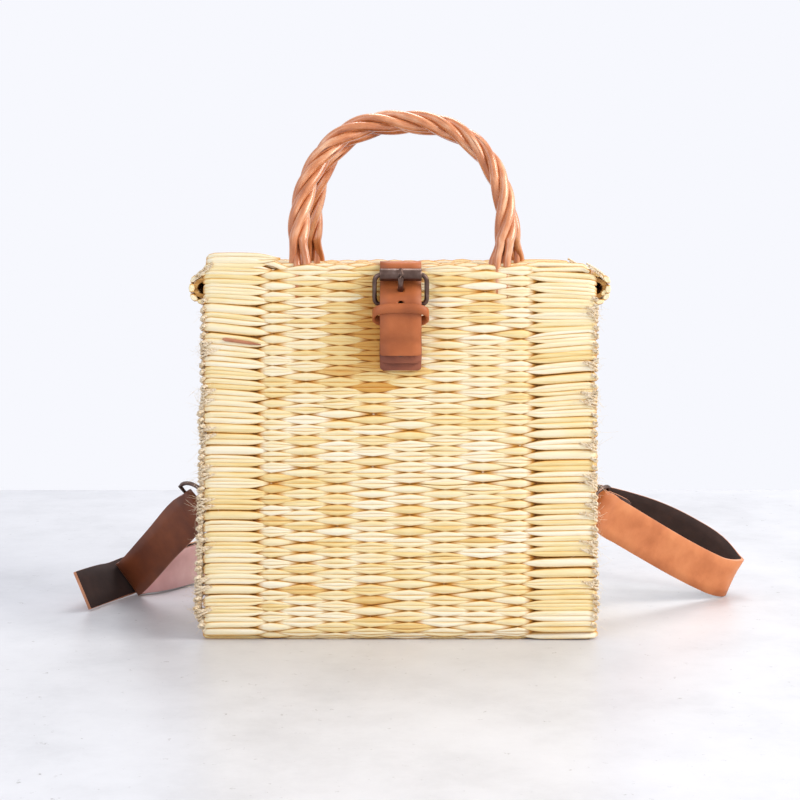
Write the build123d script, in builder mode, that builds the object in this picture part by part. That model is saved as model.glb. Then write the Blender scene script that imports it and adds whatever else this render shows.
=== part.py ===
from build123d import *
import os
from math import atan2, ceil, cos, pi, sin

# A square reed basket bag. Origin: middle of the base, on the ground. X right, Y to the back, Z up.
# The front of the bag, with its buckle, faces -Y. Millimetres.

# Woven mat
bag_width = 239.0
bag_depth = 110.0
bag_height = 225.0
mat_core = 6.0
reed_relief = 1.4
reed_skin = 0.2
pick_spacing = 6.4
warp_spacing = 21.4
warp_count = 8
warp_middle_x = -1.5
fold_radius = 9.0

# Side mats with their rolled hems
side_inset = 13.5
side_core = 5.8
side_relief = 1.2
hem_radius = 9.5
hem_hole_radius = 3.2
hem_drop = 14.0
hem_overhang = 9.7
hem_facets = 14
hem_hole_facets = 7
corner_notch = 4.2

# Jute whipping of the corners
twine_radius = 1.2
seam_core_radius = 1.5
stitch_reach = 9.0
stitch_rise = 1.5
stitch_shares_left = (0.062, 0.138, 0.244, 0.347, 0.431, 0.533, 0.644, 0.764)
stitch_shares_right = (0.138, 0.231, 0.338, 0.418, 0.502, 0.627, 0.724, 0.871)

# Twisted wicker handles
rod_count = 4
rod_radius = 2.9
rod_tip_radius = 1.55
rod_facets = 6
lay_radius = 4.45
lay_turns = 3.0
lay_start = 0.125
lay_stations = 23
foot_depth = 25.0
foot_spacing = 3.9
foot_taper_height = 15.0
socket_clearance = 0.3
arch_power = 2.6
arch_fineness = 40
front_handle = dict(left_x=-60.5, right_x=60.0, top_shift=3.0, height=89.0, lean=22.0)
back_handle = dict(left_x=-56.5, right_x=77.0, top_shift=-5.0, height=90.0, lean=17.0)

# Leather
leather = 2.3
rest_gap = 0.2
closure_x = 0.4
closure_width = 24.8
shoulder_width = 26.0
fold_reach = 3.1
keeper_leather = 1.6
keeper_height = 8.1
keeper_side_gap = 2.8
hole_width = 4.6
hole_length = 6.4
adjust_hole_radius = 2.0
hole_pitch = 8.4

# Roller buckle, the same at the front and on the shoulder strap
wire_radius = 1.4
buckle_length = 18.0
buckle_half_width = 15.6
buckle_corner = 2.2
roller_lift = 1.95
roller_radius = 3.5
roller_half_length = 12.6
roller_clearance = 0.1
roller_facets = 24
roller_hole_facets = 12
tongue_radius = 1.2
slot_half_width = 2.3
heel_below_rim = 23.0

# Rivets
rivet_radius = 1.5
rivet_head_radius = 4.0
rivet_head = 0.9
rivet_play = 0.1
rivet_slack = 0.25
rivet_below_heel = 27.0
inside_rivet_below_rim = 25.0

# Rings, their tabs and the shoulder strap
ring_wire_radius = 1.3
ring_radius = 16.0
ring_fold_reach = 2.95
flap_length = 22.0
tab_width = 9.0
tab_leather = 1.8
tab_fold_gap = 2.1
tab_length = 24.0
tab_rivet_from_fold = 16.0
adjuster_x = -67.0
adjuster_y = 134.0
adjuster_z = 41.0
floor_gap = 0.4

core_y = bag_depth / 2 - reed_relief
inner_y = core_y - mat_core
half_width = bag_width / 2
heel_height = bag_height - heel_below_rim
inside_rivet_height = bag_height - inside_rivet_below_rim
os.makedirs("parts", exist_ok=True)


def save(part, label):
    part.label = label
    export_step(part, f"parts/{label}.step")


def unit(x, y, z):
    return Vector(x, y, z).normalized()


def skin_over(sections):
    """A solid through polygons given by their corners, with flat faces between one and the next."""
    faces = [Face(Wire.make_polygon(sections[0])), Face(Wire.make_polygon(sections[-1]))]
    for low, high in zip(sections, sections[1:]):
        for k in range(len(low)):
            a, b, c, d = low[k - 1], low[k], high[k], high[k - 1]
            if abs((b - a).cross(c - a).dot(d - a)) < 1e-6:
                faces.append(Face(Wire.make_polygon([a, b, c, d])))
            else:
                faces += [Face(Wire.make_polygon([a, b, c])), Face(Wire.make_polygon([a, c, d]))]
    with BuildPart() as body:
        add(Solid(Shell(faces)))
    return body.part


def turn_at(points, k):
    """Direction of a line at one of its points, and how much a mitre there widens it."""
    into = (points[k] - points[k - 1]).normalized() if k > 0 else (points[1] - points[0]).normalized()
    out = (points[k + 1] - points[k]).normalized() if k + 1 < len(points) else into
    along = (into + out).normalized()
    return along, 1 / along.dot(into)


def ribbon(stations, thickness):
    """A strap through (centre, direction across, width) stations."""
    points = [centre for centre, across, width in stations]
    sections = []
    for k, (centre, across, width) in enumerate(stations):
        along, wider = turn_at(points, k)
        side = (across - along * across.dot(along)).normalized() * (width / 2)
        face = along.cross(across).normalized() * (thickness / 2 * wider)
        lower, upper = centre - face, centre + face
        sections.append([lower - side, lower + side, upper + side, upper - side])
    return skin_over(sections)


def bent_wire(points, normal, radius, facets):
    """A wire in one plane, its bends mitred."""
    sections = []
    for k, point in enumerate(points):
        along, wider = turn_at(points, k)
        across = normal.cross(along).normalized() * wider
        angles = [2 * pi * (i + 0.5) / facets for i in range(facets)]
        sections.append([point + (across * cos(angle) + normal * sin(angle)) * radius for angle in angles])
    return skin_over(sections)


def wire_ring(points, normal, radius, facets):
    """A closed wire from two halves; the points start and end in the middle of a straight run."""
    half = len(points) // 2
    with BuildPart() as ring:
        add(bent_wire(points[: half + 1], normal, radius, facets))
        add(bent_wire(points[half:], normal, radius, facets))
    return ring.part


def arc_around(centre, first, second, radius, start, end, steps):
    angles = [(start + (end - start) * k / steps) * pi / 180 for k in range(steps + 1)]
    return [centre + first * (radius * cos(angle)) + second * (radius * sin(angle)) for angle in angles]


# Woven mat: a reed passes over one warp and under the next, so every float is a long
# rhombus with its crown over a warp, and neighbouring floats lie half a pick apart.
slant = atan2(pick_spacing / 2, warp_spacing)
warp_x = [warp_middle_x + (i - (warp_count - 1) / 2) * warp_spacing for i in range(warp_count)]
weave_bottom = fold_radius + 1.0


def ridge_points(first, count, spacing, depth, back):
    points = [(first, 0.0)]
    for k in range(count):
        points += [(first + (k + 0.5) * spacing, depth), (first + (k + 1) * spacing, 0.0)]
    return points + [(first + count * spacing, -back), (first, -back)]


def slanted_ridges(direction):
    """The strip between two warps, ridged along one diagonal of the weave."""
    spacing = pick_spacing * cos(slant)
    half_count = ceil((bag_height / 2 + warp_spacing) / spacing)
    across = Plane(
        origin=(-warp_spacing / 2, -(core_y + reed_skin), bag_height / 2),
        x_dir=(-sin(slant) * direction, 0, cos(slant)),
        z_dir=(cos(slant), 0, sin(slant) * direction),
    )
    outline = ridge_points(
        -half_count * spacing, 2 * half_count, spacing, reed_relief - reed_skin, mat_core / 3
    )
    with BuildPart() as ridges:
        with BuildSketch(across):
            with BuildLine():
                Polyline(*outline, close=True)
            make_face()
        extrude(amount=2 * warp_spacing, both=True, clean=False)
        with BuildSketch(Plane.XZ.offset(bag_depth)):
            with Locations((0, bag_height / 2)):
                Rectangle(warp_spacing, bag_height + pick_spacing)
        extrude(amount=-bag_depth, mode=Mode.INTERSECT, clean=False)
    return ridges.part


with BuildPart() as weave_strip:
    add(slanted_ridges(1))
    add(slanted_ridges(-1), mode=Mode.INTERSECT, clean=False)

pick_count = ceil(bag_height / pick_spacing)
with BuildPart() as woven_skin:
    for i, x in enumerate(warp_x[:-1]):
        with Locations((x + warp_spacing / 2, 0, pick_spacing / 2 * (i % 2))):
            add(weave_strip.part, clean=False)
    # Beyond the outer warps the reeds run straight to the edges.
    for start, length, row in (
        (-half_width, warp_x[0] + half_width, 0),
        (warp_x[-1], half_width - warp_x[-1], (warp_count - 1) % 2),
    ):
        finger_outline = ridge_points(
            (row / 2 - ceil(pick_count / 2)) * pick_spacing, pick_count + 2, pick_spacing,
            reed_relief - reed_skin, mat_core / 3,
        )
        plane = Plane(
            origin=(start, -(core_y + reed_skin), bag_height / 2), x_dir=(0, 0, 1), z_dir=(1, 0, 0)
        )
        with BuildSketch(plane):
            with BuildLine():
                Polyline(*finger_outline, close=True)
            make_face()
        extrude(amount=length, clean=False)
    with BuildSketch(Plane.XZ.offset(bag_depth)):
        with Locations((0, (weave_bottom + bag_height) / 2)):
            Rectangle(bag_width, bag_height - weave_bottom)
    extrude(amount=-bag_depth, mode=Mode.INTERSECT, clean=False)


def handle_feet(handle):
    return handle["left_x"], handle["right_x"]


wall_middle_y = core_y - mat_core / 2
socket_length = (rod_count - 1) * foot_spacing + 2 * (rod_tip_radius + socket_clearance)
socket_width = 2 * (rod_tip_radius + socket_clearance)
with BuildPart() as mat_cuts:
    # The top corners stand back so that the rolled hems of the side mats show.
    with Locations(*[(x * half_width, 0, bag_height) for x in (-1, 1)]):
        Box(2 * corner_notch, 2 * bag_depth, 2 * (hem_drop + hem_radius + rest_gap))
    # Sockets between the reeds for the thin ends of the handle rods.
    for handle, y in ((front_handle, -wall_middle_y), (back_handle, wall_middle_y)):
        with Locations(*[(x, y, bag_height - foot_depth / 2) for x in handle_feet(handle)]):
            Box(socket_length, socket_width, foot_depth + 2 * socket_clearance)
    rivet_holes = (
        (closure_x, -wall_middle_y, heel_height - rivet_below_heel),
        (closure_x, wall_middle_y, inside_rivet_height),
    )
    with Locations(*rivet_holes):
        Cylinder(rivet_radius + rivet_play, 2 * mat_core, rotation=(90, 0, 0))

with BuildPart() as wrap_mat:
    with BuildSketch(Plane.YZ):
        with Locations((0, bag_height / 2)):
            Rectangle(2 * core_y, bag_height)
        fillet(vertices().group_by(Axis.Y)[0], fold_radius)
        with Locations((0, bag_height / 2 + mat_core)):
            Rectangle(2 * inner_y, bag_height, mode=Mode.SUBTRACT)
    extrude(amount=half_width, both=True)
    add(woven_skin.part, clean=False)
    add(mirror(woven_skin.part, about=Plane.XZ, mode=Mode.PRIVATE), clean=False)
    add(mat_cuts.part, mode=Mode.SUBTRACT, clean=False)
save(wrap_mat.part, "wrap_mat")

# Side mats, made on the left and mirrored to the right. The reeds run front to back.
side_inner_x = -(half_width - side_inset)
side_core_x = side_inner_x - side_core
side_face_x = side_core_x - side_relief
hem_x = -half_width - hem_overhang + hem_radius
hem_z = bag_height - hem_drop
side_picks = int((hem_z - mat_core) / pick_spacing)
side_outline = [(x, z) for z, x in ridge_points(mat_core, side_picks, pick_spacing, side_relief, 0)[:-2]]
# The ring's straight side lies in the strap's fold; its bow comes nearest the side mat where
# the wire runs along the mat's face, and the tab is folded round it there.
left_ring = dict(middle_y=5.0, middle_z=70.9, bar=unit(-0.653, 0.176, 0.737), pull=unit(-0.53, 0.58, -0.61),
                 bow=unit(0.45, -0.692, 0.564), side=-1)
right_ring = dict(middle_y=2.0, middle_z=73.0, bar=unit(0.48, 0.048, 0.876), pull=unit(0.772, 0.451, -0.448),
                  bow=unit(-0.489, -0.814, 0.313), side=1)
for ring in (left_ring, right_ring):
    ring["bow"] = (ring["bow"] - ring["bar"] * ring["bow"].dot(ring["bar"])).normalized()
    reach = (ring["bar"].X ** 2 + ring["bow"].X ** 2) ** 0.5
    wire_x = side_face_x - rest_gap - tab_leather - tab_fold_gap
    nearest = (ring["bar"] * ring["bar"].X + ring["bow"] * ring["bow"].X) * (-ring["side"] / reach)
    ring["middle"] = Vector(
        -ring["side"] * wire_x + ring["side"] * ring_radius * reach, ring["middle_y"], ring["middle_z"]
    )
    ring["hold"] = ring["middle"] + nearest * ring_radius
    hinge = (ring["bow"] * nearest.dot(ring["bar"]) - ring["bar"] * nearest.dot(ring["bow"])).normalized()
    ring["hinge"] = hinge if hinge.Z > 0 else -hinge
    ring["tab"] = Vector(0, -ring["hinge"].Z, ring["hinge"].Y)


def tab_rivet_point(ring, x):
    point = ring["hold"] + ring["tab"] * tab_rivet_from_fold
    return Vector(x, point.Y, point.Z)


panel_edge_x = half_width - corner_notch + rest_gap


def side_mat(ring):
    side = ring["side"]
    with BuildPart() as mat:
        with BuildSketch(Plane.XZ.offset(-inner_y)):
            with BuildLine():
                Polyline(
                    *[(side * (x - side_core_x), z) for x, z in side_outline],
                    (-side * side_core_x, hem_z),
                    (-side * side_inner_x, hem_z),
                    (-side * side_inner_x, mat_core),
                    close=True,
                )
            make_face()
        extrude(amount=2 * inner_y)
        with BuildSketch(Plane.XZ.offset(-core_y)):
            with Locations((-side * hem_x, hem_z)):
                RegularPolygon(hem_radius, hem_facets)
        extrude(amount=2 * core_y)
        with BuildSketch(Plane.XZ.offset(-core_y)):
            with Locations((-side * hem_x, hem_z)):
                RegularPolygon(hem_hole_radius, hem_hole_facets)
        extrude(amount=2 * core_y, mode=Mode.SUBTRACT)
        # The ends of the hem are squeezed flat where they meet the front and back panels.
        ends = [(side * (panel_edge_x - hem_radius), y * (inner_y + mat_core / 2), hem_z) for y in (-1, 1)]
        with Locations(*ends):
            Box(2 * hem_radius, mat_core + rest_gap, 3 * hem_radius, mode=Mode.SUBTRACT)
        with Locations(tab_rivet_point(ring, -side * side_core_x)):
            Cylinder(rivet_radius + rivet_play, 3 * side_core, rotation=(0, 90, 0), mode=Mode.SUBTRACT)
    return mat.part


save(side_mat(left_ring), "side_mat_left")
save(side_mat(right_ring), "side_mat_right")


# Jute seams: a cord lies in each corner, and its stitches reach round the panel's edge.
def corner_seam(heights):
    cord_x = side_face_x - seam_core_radius - rest_gap
    cord_y = -inner_y + seam_core_radius + rest_gap
    outside_x = -half_width - twine_radius - rest_gap
    front_y = -bag_depth / 2 - twine_radius - rest_gap
    start_x = -half_width + stitch_reach
    with BuildPart() as seam:
        with BuildSketch(Plane.XY.offset(mat_core)):
            with Locations((cord_x, cord_y)):
                RegularPolygon(seam_core_radius, 6)
        extrude(amount=heights[-1] - mat_core + 2 * twine_radius)
        with BuildPart(mode=Mode.PRIVATE) as stitch:
            with BuildLine() as turn:
                Polyline(
                    (start_x, front_y, stitch_rise),
                    (outside_x, front_y, 0),
                    (outside_x, cord_y, -stitch_rise * 2 / 3),
                    (cord_x, cord_y, -stitch_rise),
                )
            with BuildSketch(Plane(origin=turn.line @ 0, z_dir=turn.line % 0)):
                RegularPolygon(twine_radius, 4)
            sweep(path=turn.line, transition=Transition.RIGHT)
        with Locations(*[(0, 0, z) for z in heights]):
            add(stitch.part)
    return seam.part


for side, mirror_side in (("left", False), ("right", True)):
    shares = stitch_shares_right if mirror_side else stitch_shares_left
    seam = corner_seam([bag_height * share for share in shares])
    if mirror_side:
        seam = mirror(seam, about=Plane.YZ, mode=Mode.PRIVATE)
    save(seam, f"seam_front_{side}")
    save(mirror(seam, about=Plane.XZ, mode=Mode.PRIVATE), f"seam_back_{side}")


# Handles: the centre line is half of a rounded oblong that stands in the panel and leans inward.
def arch_points(handle, foot_y, lean_direction, count):
    middle = (handle["left_x"] + handle["right_x"]) / 2
    half_span = (handle["right_x"] - handle["left_x"]) / 2
    fine = []
    for k in range(arch_fineness * count + 1):
        angle = pi - pi * k / (arch_fineness * count)
        across = abs(cos(angle)) ** (2 / arch_power) * (1 if cos(angle) > 0 else -1)
        up = abs(sin(angle)) ** (2 / arch_power)
        fine.append(
            Vector(
                middle + half_span * across + handle["top_shift"] * up,
                foot_y + lean_direction * handle["lean"] * up,
                bag_height + handle["height"] * up,
            )
        )
    lengths = [0.0]
    for a, b in zip(fine, fine[1:]):
        lengths.append(lengths[-1] + (b - a).length)
    first = next(i for i, p in enumerate(fine) if p.Z > bag_height + foot_taper_height)
    last = len(fine) - 1 - first
    stations = []
    for k in range(count):
        wanted = lengths[first] + (lengths[last] - lengths[first]) * k / (count - 1)
        stations.append(min(range(len(fine)), key=lambda i: abs(lengths[i] - wanted)))
    return [fine[i] for i in stations]


def around_line(along):
    """The two directions square to a handle's line: outward from the arch, and forward."""
    front = (Vector(0, -1, 0) + along * along.Y).normalized()
    return front.cross(along), front


def strand_point(line, k, index):
    along = (line[min(k + 1, lay_stations - 1)] - line[max(k - 1, 0)]).normalized()
    outward, front = around_line(along)
    turn = 2 * pi * (lay_turns * k / (lay_stations - 1) + index / rod_count + lay_start)
    return line[k] + (outward * cos(turn) + front * sin(turn)) * lay_radius


def foot_rank(line, k, index):
    """Place of a rod in the row at its foot: the rods keep their order from left to right."""
    ends = [strand_point(line, k, other) for other in range(rod_count)]
    order = sorted(range(rod_count), key=lambda i: (round(ends[i].X - line[k].X, 1), ends[i].Y))
    return order.index(index)


def twisted_rod(handle, foot_y, lean_direction, index):
    line = arch_points(handle, foot_y, lean_direction, lay_stations)
    strand = [strand_point(line, k, index) for k in range(lay_stations)]
    sections = []
    for k, foot_x in ((0, handle["left_x"]), (lay_stations - 1, handle["right_x"])):
        tip_x = foot_x + (foot_rank(line, k, index) - (rod_count - 1) / 2) * foot_spacing
        socket_top = Vector(tip_x, foot_y, bag_height + rest_gap)
        tips = [
            (Vector(tip_x, foot_y, bag_height - foot_depth + socket_clearance), rod_tip_radius),
            (socket_top, rod_tip_radius),
            ((socket_top + strand[k]) * 0.5, rod_tip_radius),
        ]
        sections.append(tips)
    points = sections[0] + [(p, rod_radius) for p in strand] + sections[1][::-1]
    middles = [point for point, radius in points]
    corners = []
    for k, (point, radius) in enumerate(points):
        along = turn_at(middles, k)[0]
        if k in (0, 1, len(points) - 2, len(points) - 1):
            along = Vector(0, 0, 1 if k < 2 else -1)
        outward, front = around_line(along)
        angles = [2 * pi * i / rod_facets for i in range(rod_facets)]
        corners.append([point + (outward * cos(angle) + front * sin(angle)) * radius for angle in angles])
    return skin_over(corners)


for name, handle, y, lean_direction in (
    ("front", front_handle, -wall_middle_y, 1),
    ("back", back_handle, wall_middle_y, -1),
):
    for index in range(rod_count):
        save(twisted_rod(handle, y, lean_direction, index), f"{name}_handle_rod_{index + 1}")


# Closure buckle and shoulder buckle share one shape. Lengths run from the heel bar towards the
# roller, and lift is away from the surface behind.
class BuckleFrame:
    def __init__(self, heel, along, lift):
        self.heel, self.along, self.lift = heel, along, lift
        self.across = lift.cross(along)

    def at(self, length, lift, across=0.0):
        return self.heel + self.along * length + self.lift * lift + self.across * across


closure_heel_y = -(bag_depth / 2 + rest_gap + leather / 2 + fold_reach)
closure = BuckleFrame(Vector(closure_x, closure_heel_y, heel_height), Vector(0, 0, 1), Vector(0, -1, 0))
adjuster = BuckleFrame(Vector(adjuster_x, adjuster_y, adjuster_z), Vector(1, 0, 0), Vector(0, 1, 0))

# Where the strap that is buckled runs, from behind the roller to its hanging end.
behind_roller = (buckle_length - 4.5, -fold_reach)
over_heel = (2.5, fold_reach + leather + 0.5)
hole_at = (7.93, 1.456)


def buckle_frame(buckle):
    c = buckle_corner
    w = buckle_half_width
    plane_along = (buckle.at(buckle_length, roller_lift) - buckle.at(0, 0)).normalized()
    far = (buckle_length ** 2 + roller_lift ** 2) ** 0.5
    outline = [
        (0, 0), (0, w - c), (c, w), (far - c, w), (far, w - c), (far, 0),
        (far, c - w), (far - c, -w), (c, -w), (0, c - w), (0, 0),
    ]
    points = [buckle.heel + plane_along * a + buckle.across * b for a, b in outline]
    return wire_ring(points, plane_along.cross(buckle.across), wire_radius, 8)


def roller(buckle):
    axle = Plane(buckle.at(buckle_length, roller_lift), x_dir=buckle.lift, z_dir=buckle.across)
    with BuildPart() as tube:
        with BuildSketch(axle):
            RegularPolygon(roller_radius, roller_facets)
            RegularPolygon(
                wire_radius + roller_clearance, roller_hole_facets, major_radius=False, mode=Mode.SUBTRACT
            )
        extrude(amount=roller_half_length, both=True)
    return tube.part


def tongue(buckle):
    loop_radius = wire_radius + tongue_radius + 0.35
    points = arc_around(buckle.heel, buckle.along, buckle.lift, loop_radius, 40, 288, 6)
    points += [buckle.at(*hole_at), buckle.at(14.5, 6.7), buckle.at(24.8, 7.05)]
    return bent_wire(points, buckle.across, tongue_radius, 6)


def keeper(buckle, strap_width):
    """A leather loop; its back lies between the folded legs, lower than its front."""
    front = (-3.25, over_heel[1] + leather / 2 + rest_gap + keeper_leather)
    back = (-10.5, -keeper_leather / 2)
    half = strap_width / 2 + keeper_side_gap + keeper_leather
    t = keeper_leather

    def ring_corners(inset, length_shift):
        low = (back[0] + length_shift, back[1] + inset)
        high = (front[0] + length_shift, front[1] - inset)
        slope = (high[0] - low[0]) / (high[1] - low[1])
        cut = 2.0
        outline = [
            (low[1], half - inset - cut), (low[1] + cut, half - inset),
            (high[1] - cut, half - inset), (high[1], half - inset - cut),
        ]
        return [(low[0] + (w - low[1]) * slope, w, v) for w, v in outline]

    with BuildPart() as loop:
        for inset, mode in ((0, Mode.ADD), (t, Mode.SUBTRACT)):
            sections = []
            for end in (-1, 1):
                corners = ring_corners(inset, end * (keeper_height / 2 + (0 if inset == 0 else 4)))
                corners += [(u, w, -v) for u, w, v in corners[::-1]]
                sections.append([buckle.at(u, w, v) for u, w, v in corners])
            add(skin_over(sections), mode=mode)
    return loop.part


def straight(buckle, points, width):
    return [(buckle.at(u, w), buckle.across, width * (f[0] if f else 1.0)) for u, w, *f in points]


def folded_legs(buckle, width, short_leg, long_leg):
    """Stations of a strap that comes up behind, goes round the heel bar and lies back on itself."""
    bend = arc_around(buckle.heel, buckle.along, buckle.lift, fold_reach, -90, 90, 4)
    stations = straight(buckle, long_leg, width)
    stations += [(point, buckle.across, width) for point in bend]
    return stations + straight(buckle, short_leg, width)


def drill(point, direction, radius, facets, length):
    with BuildPart() as cut:
        with BuildSketch(Plane(origin=point, z_dir=direction)):
            RegularPolygon(radius, facets)
        extrude(amount=length / 2, both=True)
    return cut.part


def tongue_slot(buckle):
    slot_plane = Plane(buckle.heel, x_dir=buckle.across, z_dir=buckle.along)
    with BuildPart() as cut:
        with BuildSketch(slot_plane.offset(-4.9)):
            Rectangle(2 * slot_half_width, 20)
        extrude(amount=12)
    return cut.part


def strap_holes(buckle, count):
    down = (buckle.at(*over_heel) - buckle.at(*behind_roller)).normalized()
    normal = down.cross(buckle.across)
    w = hole_width / 2
    h = hole_length / 2
    with BuildPart() as cuts:
        with BuildSketch(Plane(buckle.at(*hole_at), x_dir=buckle.across, z_dir=normal)):
            with BuildLine():
                Polyline(
                    (-w, h - 1.4), (-w + 1.2, h), (w - 1.2, h), (w, h - 1.4),
                    (w, 1.4 - h), (w - 1.2, -h), (1.2 - w, -h), (-w, 1.4 - h), close=True,
                )
            make_face()
        extrude(amount=2.4, both=True)
        first = over_heel[0] - hole_pitch + (buckle.at(*hole_at) - buckle.at(*over_heel)).length
        for k in range(count):
            point = buckle.at(first - k * hole_pitch, over_heel[1])
            add(drill(point, buckle.lift, adjust_hole_radius, 10, 4))
    return cuts.part


def rivet(outer, inner, turn=0.0):
    """A rivet whose heads' undersides lie at the two points given."""
    away = (outer - inner).normalized()
    with BuildPart() as fixing:
        for plane, radius, facets, length in (
            (Plane(outer, z_dir=away), rivet_head_radius, 12, rivet_head),
            (Plane(inner, z_dir=-away), rivet_head_radius, 12, rivet_head),
            (Plane(inner, z_dir=away), rivet_radius, 8, (outer - inner).length),
        ):
            with BuildSketch(plane):
                RegularPolygon(radius, facets)
            extrude(amount=length)
    return fixing.part


# Closure: the base strap holds the buckle on the front panel.
leg_lift = leather + rest_gap - fold_reach
base_front_leg = [(-14, fold_reach), (-21, leg_lift), (-33, leg_lift), (-35, leg_lift, 0.9)]
base_back_leg = [(-39.5, -fold_reach, 0.9), (-37.5, -fold_reach), (-14, -fold_reach)]
with BuildPart() as closure_base_strap:
    add(ribbon(folded_legs(closure, closure_width, base_front_leg, base_back_leg), leather))
    add(tongue_slot(closure), mode=Mode.SUBTRACT)
    rivet_point = closure.at(-rivet_below_heel, 0)
    add(drill(rivet_point, closure.lift, rivet_radius + rivet_slack, 8, 20), mode=Mode.SUBTRACT)
save(closure_base_strap.part, "closure_base_strap")
save(buckle_frame(closure), "closure_buckle_frame")
save(roller(closure), "closure_roller")
save(tongue(closure), "closure_tongue")
save(keeper(closure, closure_width), "closure_keeper")

# Closure strap: riveted inside the back panel, over the opening and down through the buckle.
inside_y = inner_y - rest_gap - leather / 2
over_edge = bag_height + rest_gap + leather / 2
face_y = closure.at(0, -fold_reach).Y
lower_lift = leg_lift + leather + rivet_head + 0.35
closure_path = [
    (inside_y, inside_rivet_height - 16, 0.9),
    (inside_y, inside_rivet_height - 14, 1),
    (inside_y, bag_height - 12, 1),
    (inside_y - 2.05, bag_height - 6.5, 1),
    (inner_y - 9.6, bag_height - 4.2, 1),
    (inner_y * 0.38, bag_height - 5.0, 1),
    (-inner_y * 0.13, bag_height - 5.2, 1),
    (-inner_y * 0.59, bag_height - 3.2, 1),
    (7.6 - inner_y, bag_height - 0.2, 1),
    (1.1 - inner_y, over_edge + 0.1, 1),
    (face_y + 0.95, over_edge + 0.05, 1),
    (face_y, over_edge - 0.9, 1),
]
across_x = Vector(-1, 0, 0)
closure_stations = [
    (Vector(closure_x, y, z), across_x, closure_width * f) for y, z, f in closure_path
] + straight(
    closure,
    [behind_roller, over_heel, (-14, over_heel[1]), (-21, lower_lift), (-27, lower_lift),
     (-29.5, lower_lift, 0.8), (-31, lower_lift, 0.4)],
    closure_width,
)
with BuildPart() as closure_strap:
    add(ribbon(closure_stations, leather))
    add(strap_holes(closure, 1), mode=Mode.SUBTRACT)
    add(
        drill(
            Vector(closure_x, inside_y, inside_rivet_height), Vector(0, 1, 0), rivet_radius + rivet_slack, 8, 10
        ),
        mode=Mode.SUBTRACT,
    )
save(closure_strap.part, "closure_strap")

rivet_z = heel_height - rivet_below_heel
base_outer_y = closure.at(0, leg_lift + leather / 2).Y
save(
    rivet(Vector(closure_x, base_outer_y - 0.05, rivet_z), Vector(closure_x, 0.05 - inner_y, rivet_z)),
    "closure_base_rivet",
)
save(
    rivet(
        Vector(closure_x, bag_depth / 2 + 0.05, inside_rivet_height),
        Vector(closure_x, inside_y - leather / 2 - 0.05, inside_rivet_height),
    ),
    "closure_back_rivet",
)

# Rings, tabs and their rivets
for name, ring in (("left", left_ring), ("right", right_ring)):
    normal = ring["bar"].cross(ring["bow"])
    bow = arc_around(ring["middle"], ring["bar"], ring["bow"], ring_radius, 0, 180, 9)
    outline = [ring["middle"], *bow[:5], (bow[4] + bow[5]) * 0.5, *bow[5:], ring["middle"]]
    save(wire_ring(outline, normal, ring_wire_radius, 6), f"ring_{name}")

    out = Vector(ring["side"], 0, 0)
    fold_middle = tab_fold_gap + tab_leather / 2

    def tab_station(reach, lift, factor=1.0, ring=ring, out=out):
        return (ring["hold"] + ring["tab"] * reach + out * lift, ring["hinge"], tab_width * factor)

    flat_lift = rest_gap + tab_leather - fold_middle
    tab_bend = arc_around(ring["hold"], -ring["tab"], out, fold_middle + 0.25, -90, 90, 4)
    stations = [tab_station(tab_length - 1.5, -fold_middle, 0.85)]
    stations += [tab_station(tab_length - 3.5, -fold_middle), tab_station(4, -fold_middle)]
    stations += [(point, ring["hinge"], tab_width) for point in tab_bend]
    stations += [tab_station(3, fold_middle), tab_station(9, flat_lift)]
    stations += [tab_station(tab_length - 4, flat_lift), tab_station(tab_length - 2, flat_lift, 0.85)]
    with BuildPart() as tab:
        add(ribbon(stations, tab_leather))
        hole = drill(tab_rivet_point(ring, ring["hold"].X), out, rivet_radius + rivet_slack, 8, 30)
        add(hole, mode=Mode.SUBTRACT)
    save(tab.part, f"ring_tab_{name}")
    outer_x = ring["hold"].X + ring["side"] * (flat_lift + tab_leather / 2 + 0.05)
    inner_x = -ring["side"] * side_inner_x - ring["side"] * 0.05
    save(rivet(tab_rivet_point(ring, outer_x), tab_rivet_point(ring, inner_x)), f"ring_rivet_{name}")


# Shoulder strap: each length is folded round its ring and stitched back on itself.
def ring_fold(ring, width):
    """Stations from the flap's end round the ring's bar to the strap proper."""
    middle = ring["middle"]
    face = ring["pull"].cross(ring["bar"]).normalized()
    closed = (leather + rest_gap) / 2

    def station(reach, lift, factor=1.0):
        return (middle + ring["pull"] * reach + face * lift, ring["bar"], width * factor)

    reach = ring_fold_reach
    bend = arc_around(middle, -ring["pull"], face, reach, 90, -90, 4)
    return (
        [station(flap_length, closed, 0.9), station(flap_length - 2, closed)]
        + [station(12, closed), station(3, reach, 0.86)]
        + [(point, ring["bar"], width * 0.8) for point in bend]
        + [station(3, -reach, 0.86), station(12, -closed)]
    )


def line_stations(points, width):
    return [(Vector(*p), unit(*r), width) for p, r in points]


def on_edge(points, width):
    """Stations given by their lower edge and the direction across."""
    return [(Vector(*p) + unit(*r) * (width / 2), unit(*r), width) for p, r in points]


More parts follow.
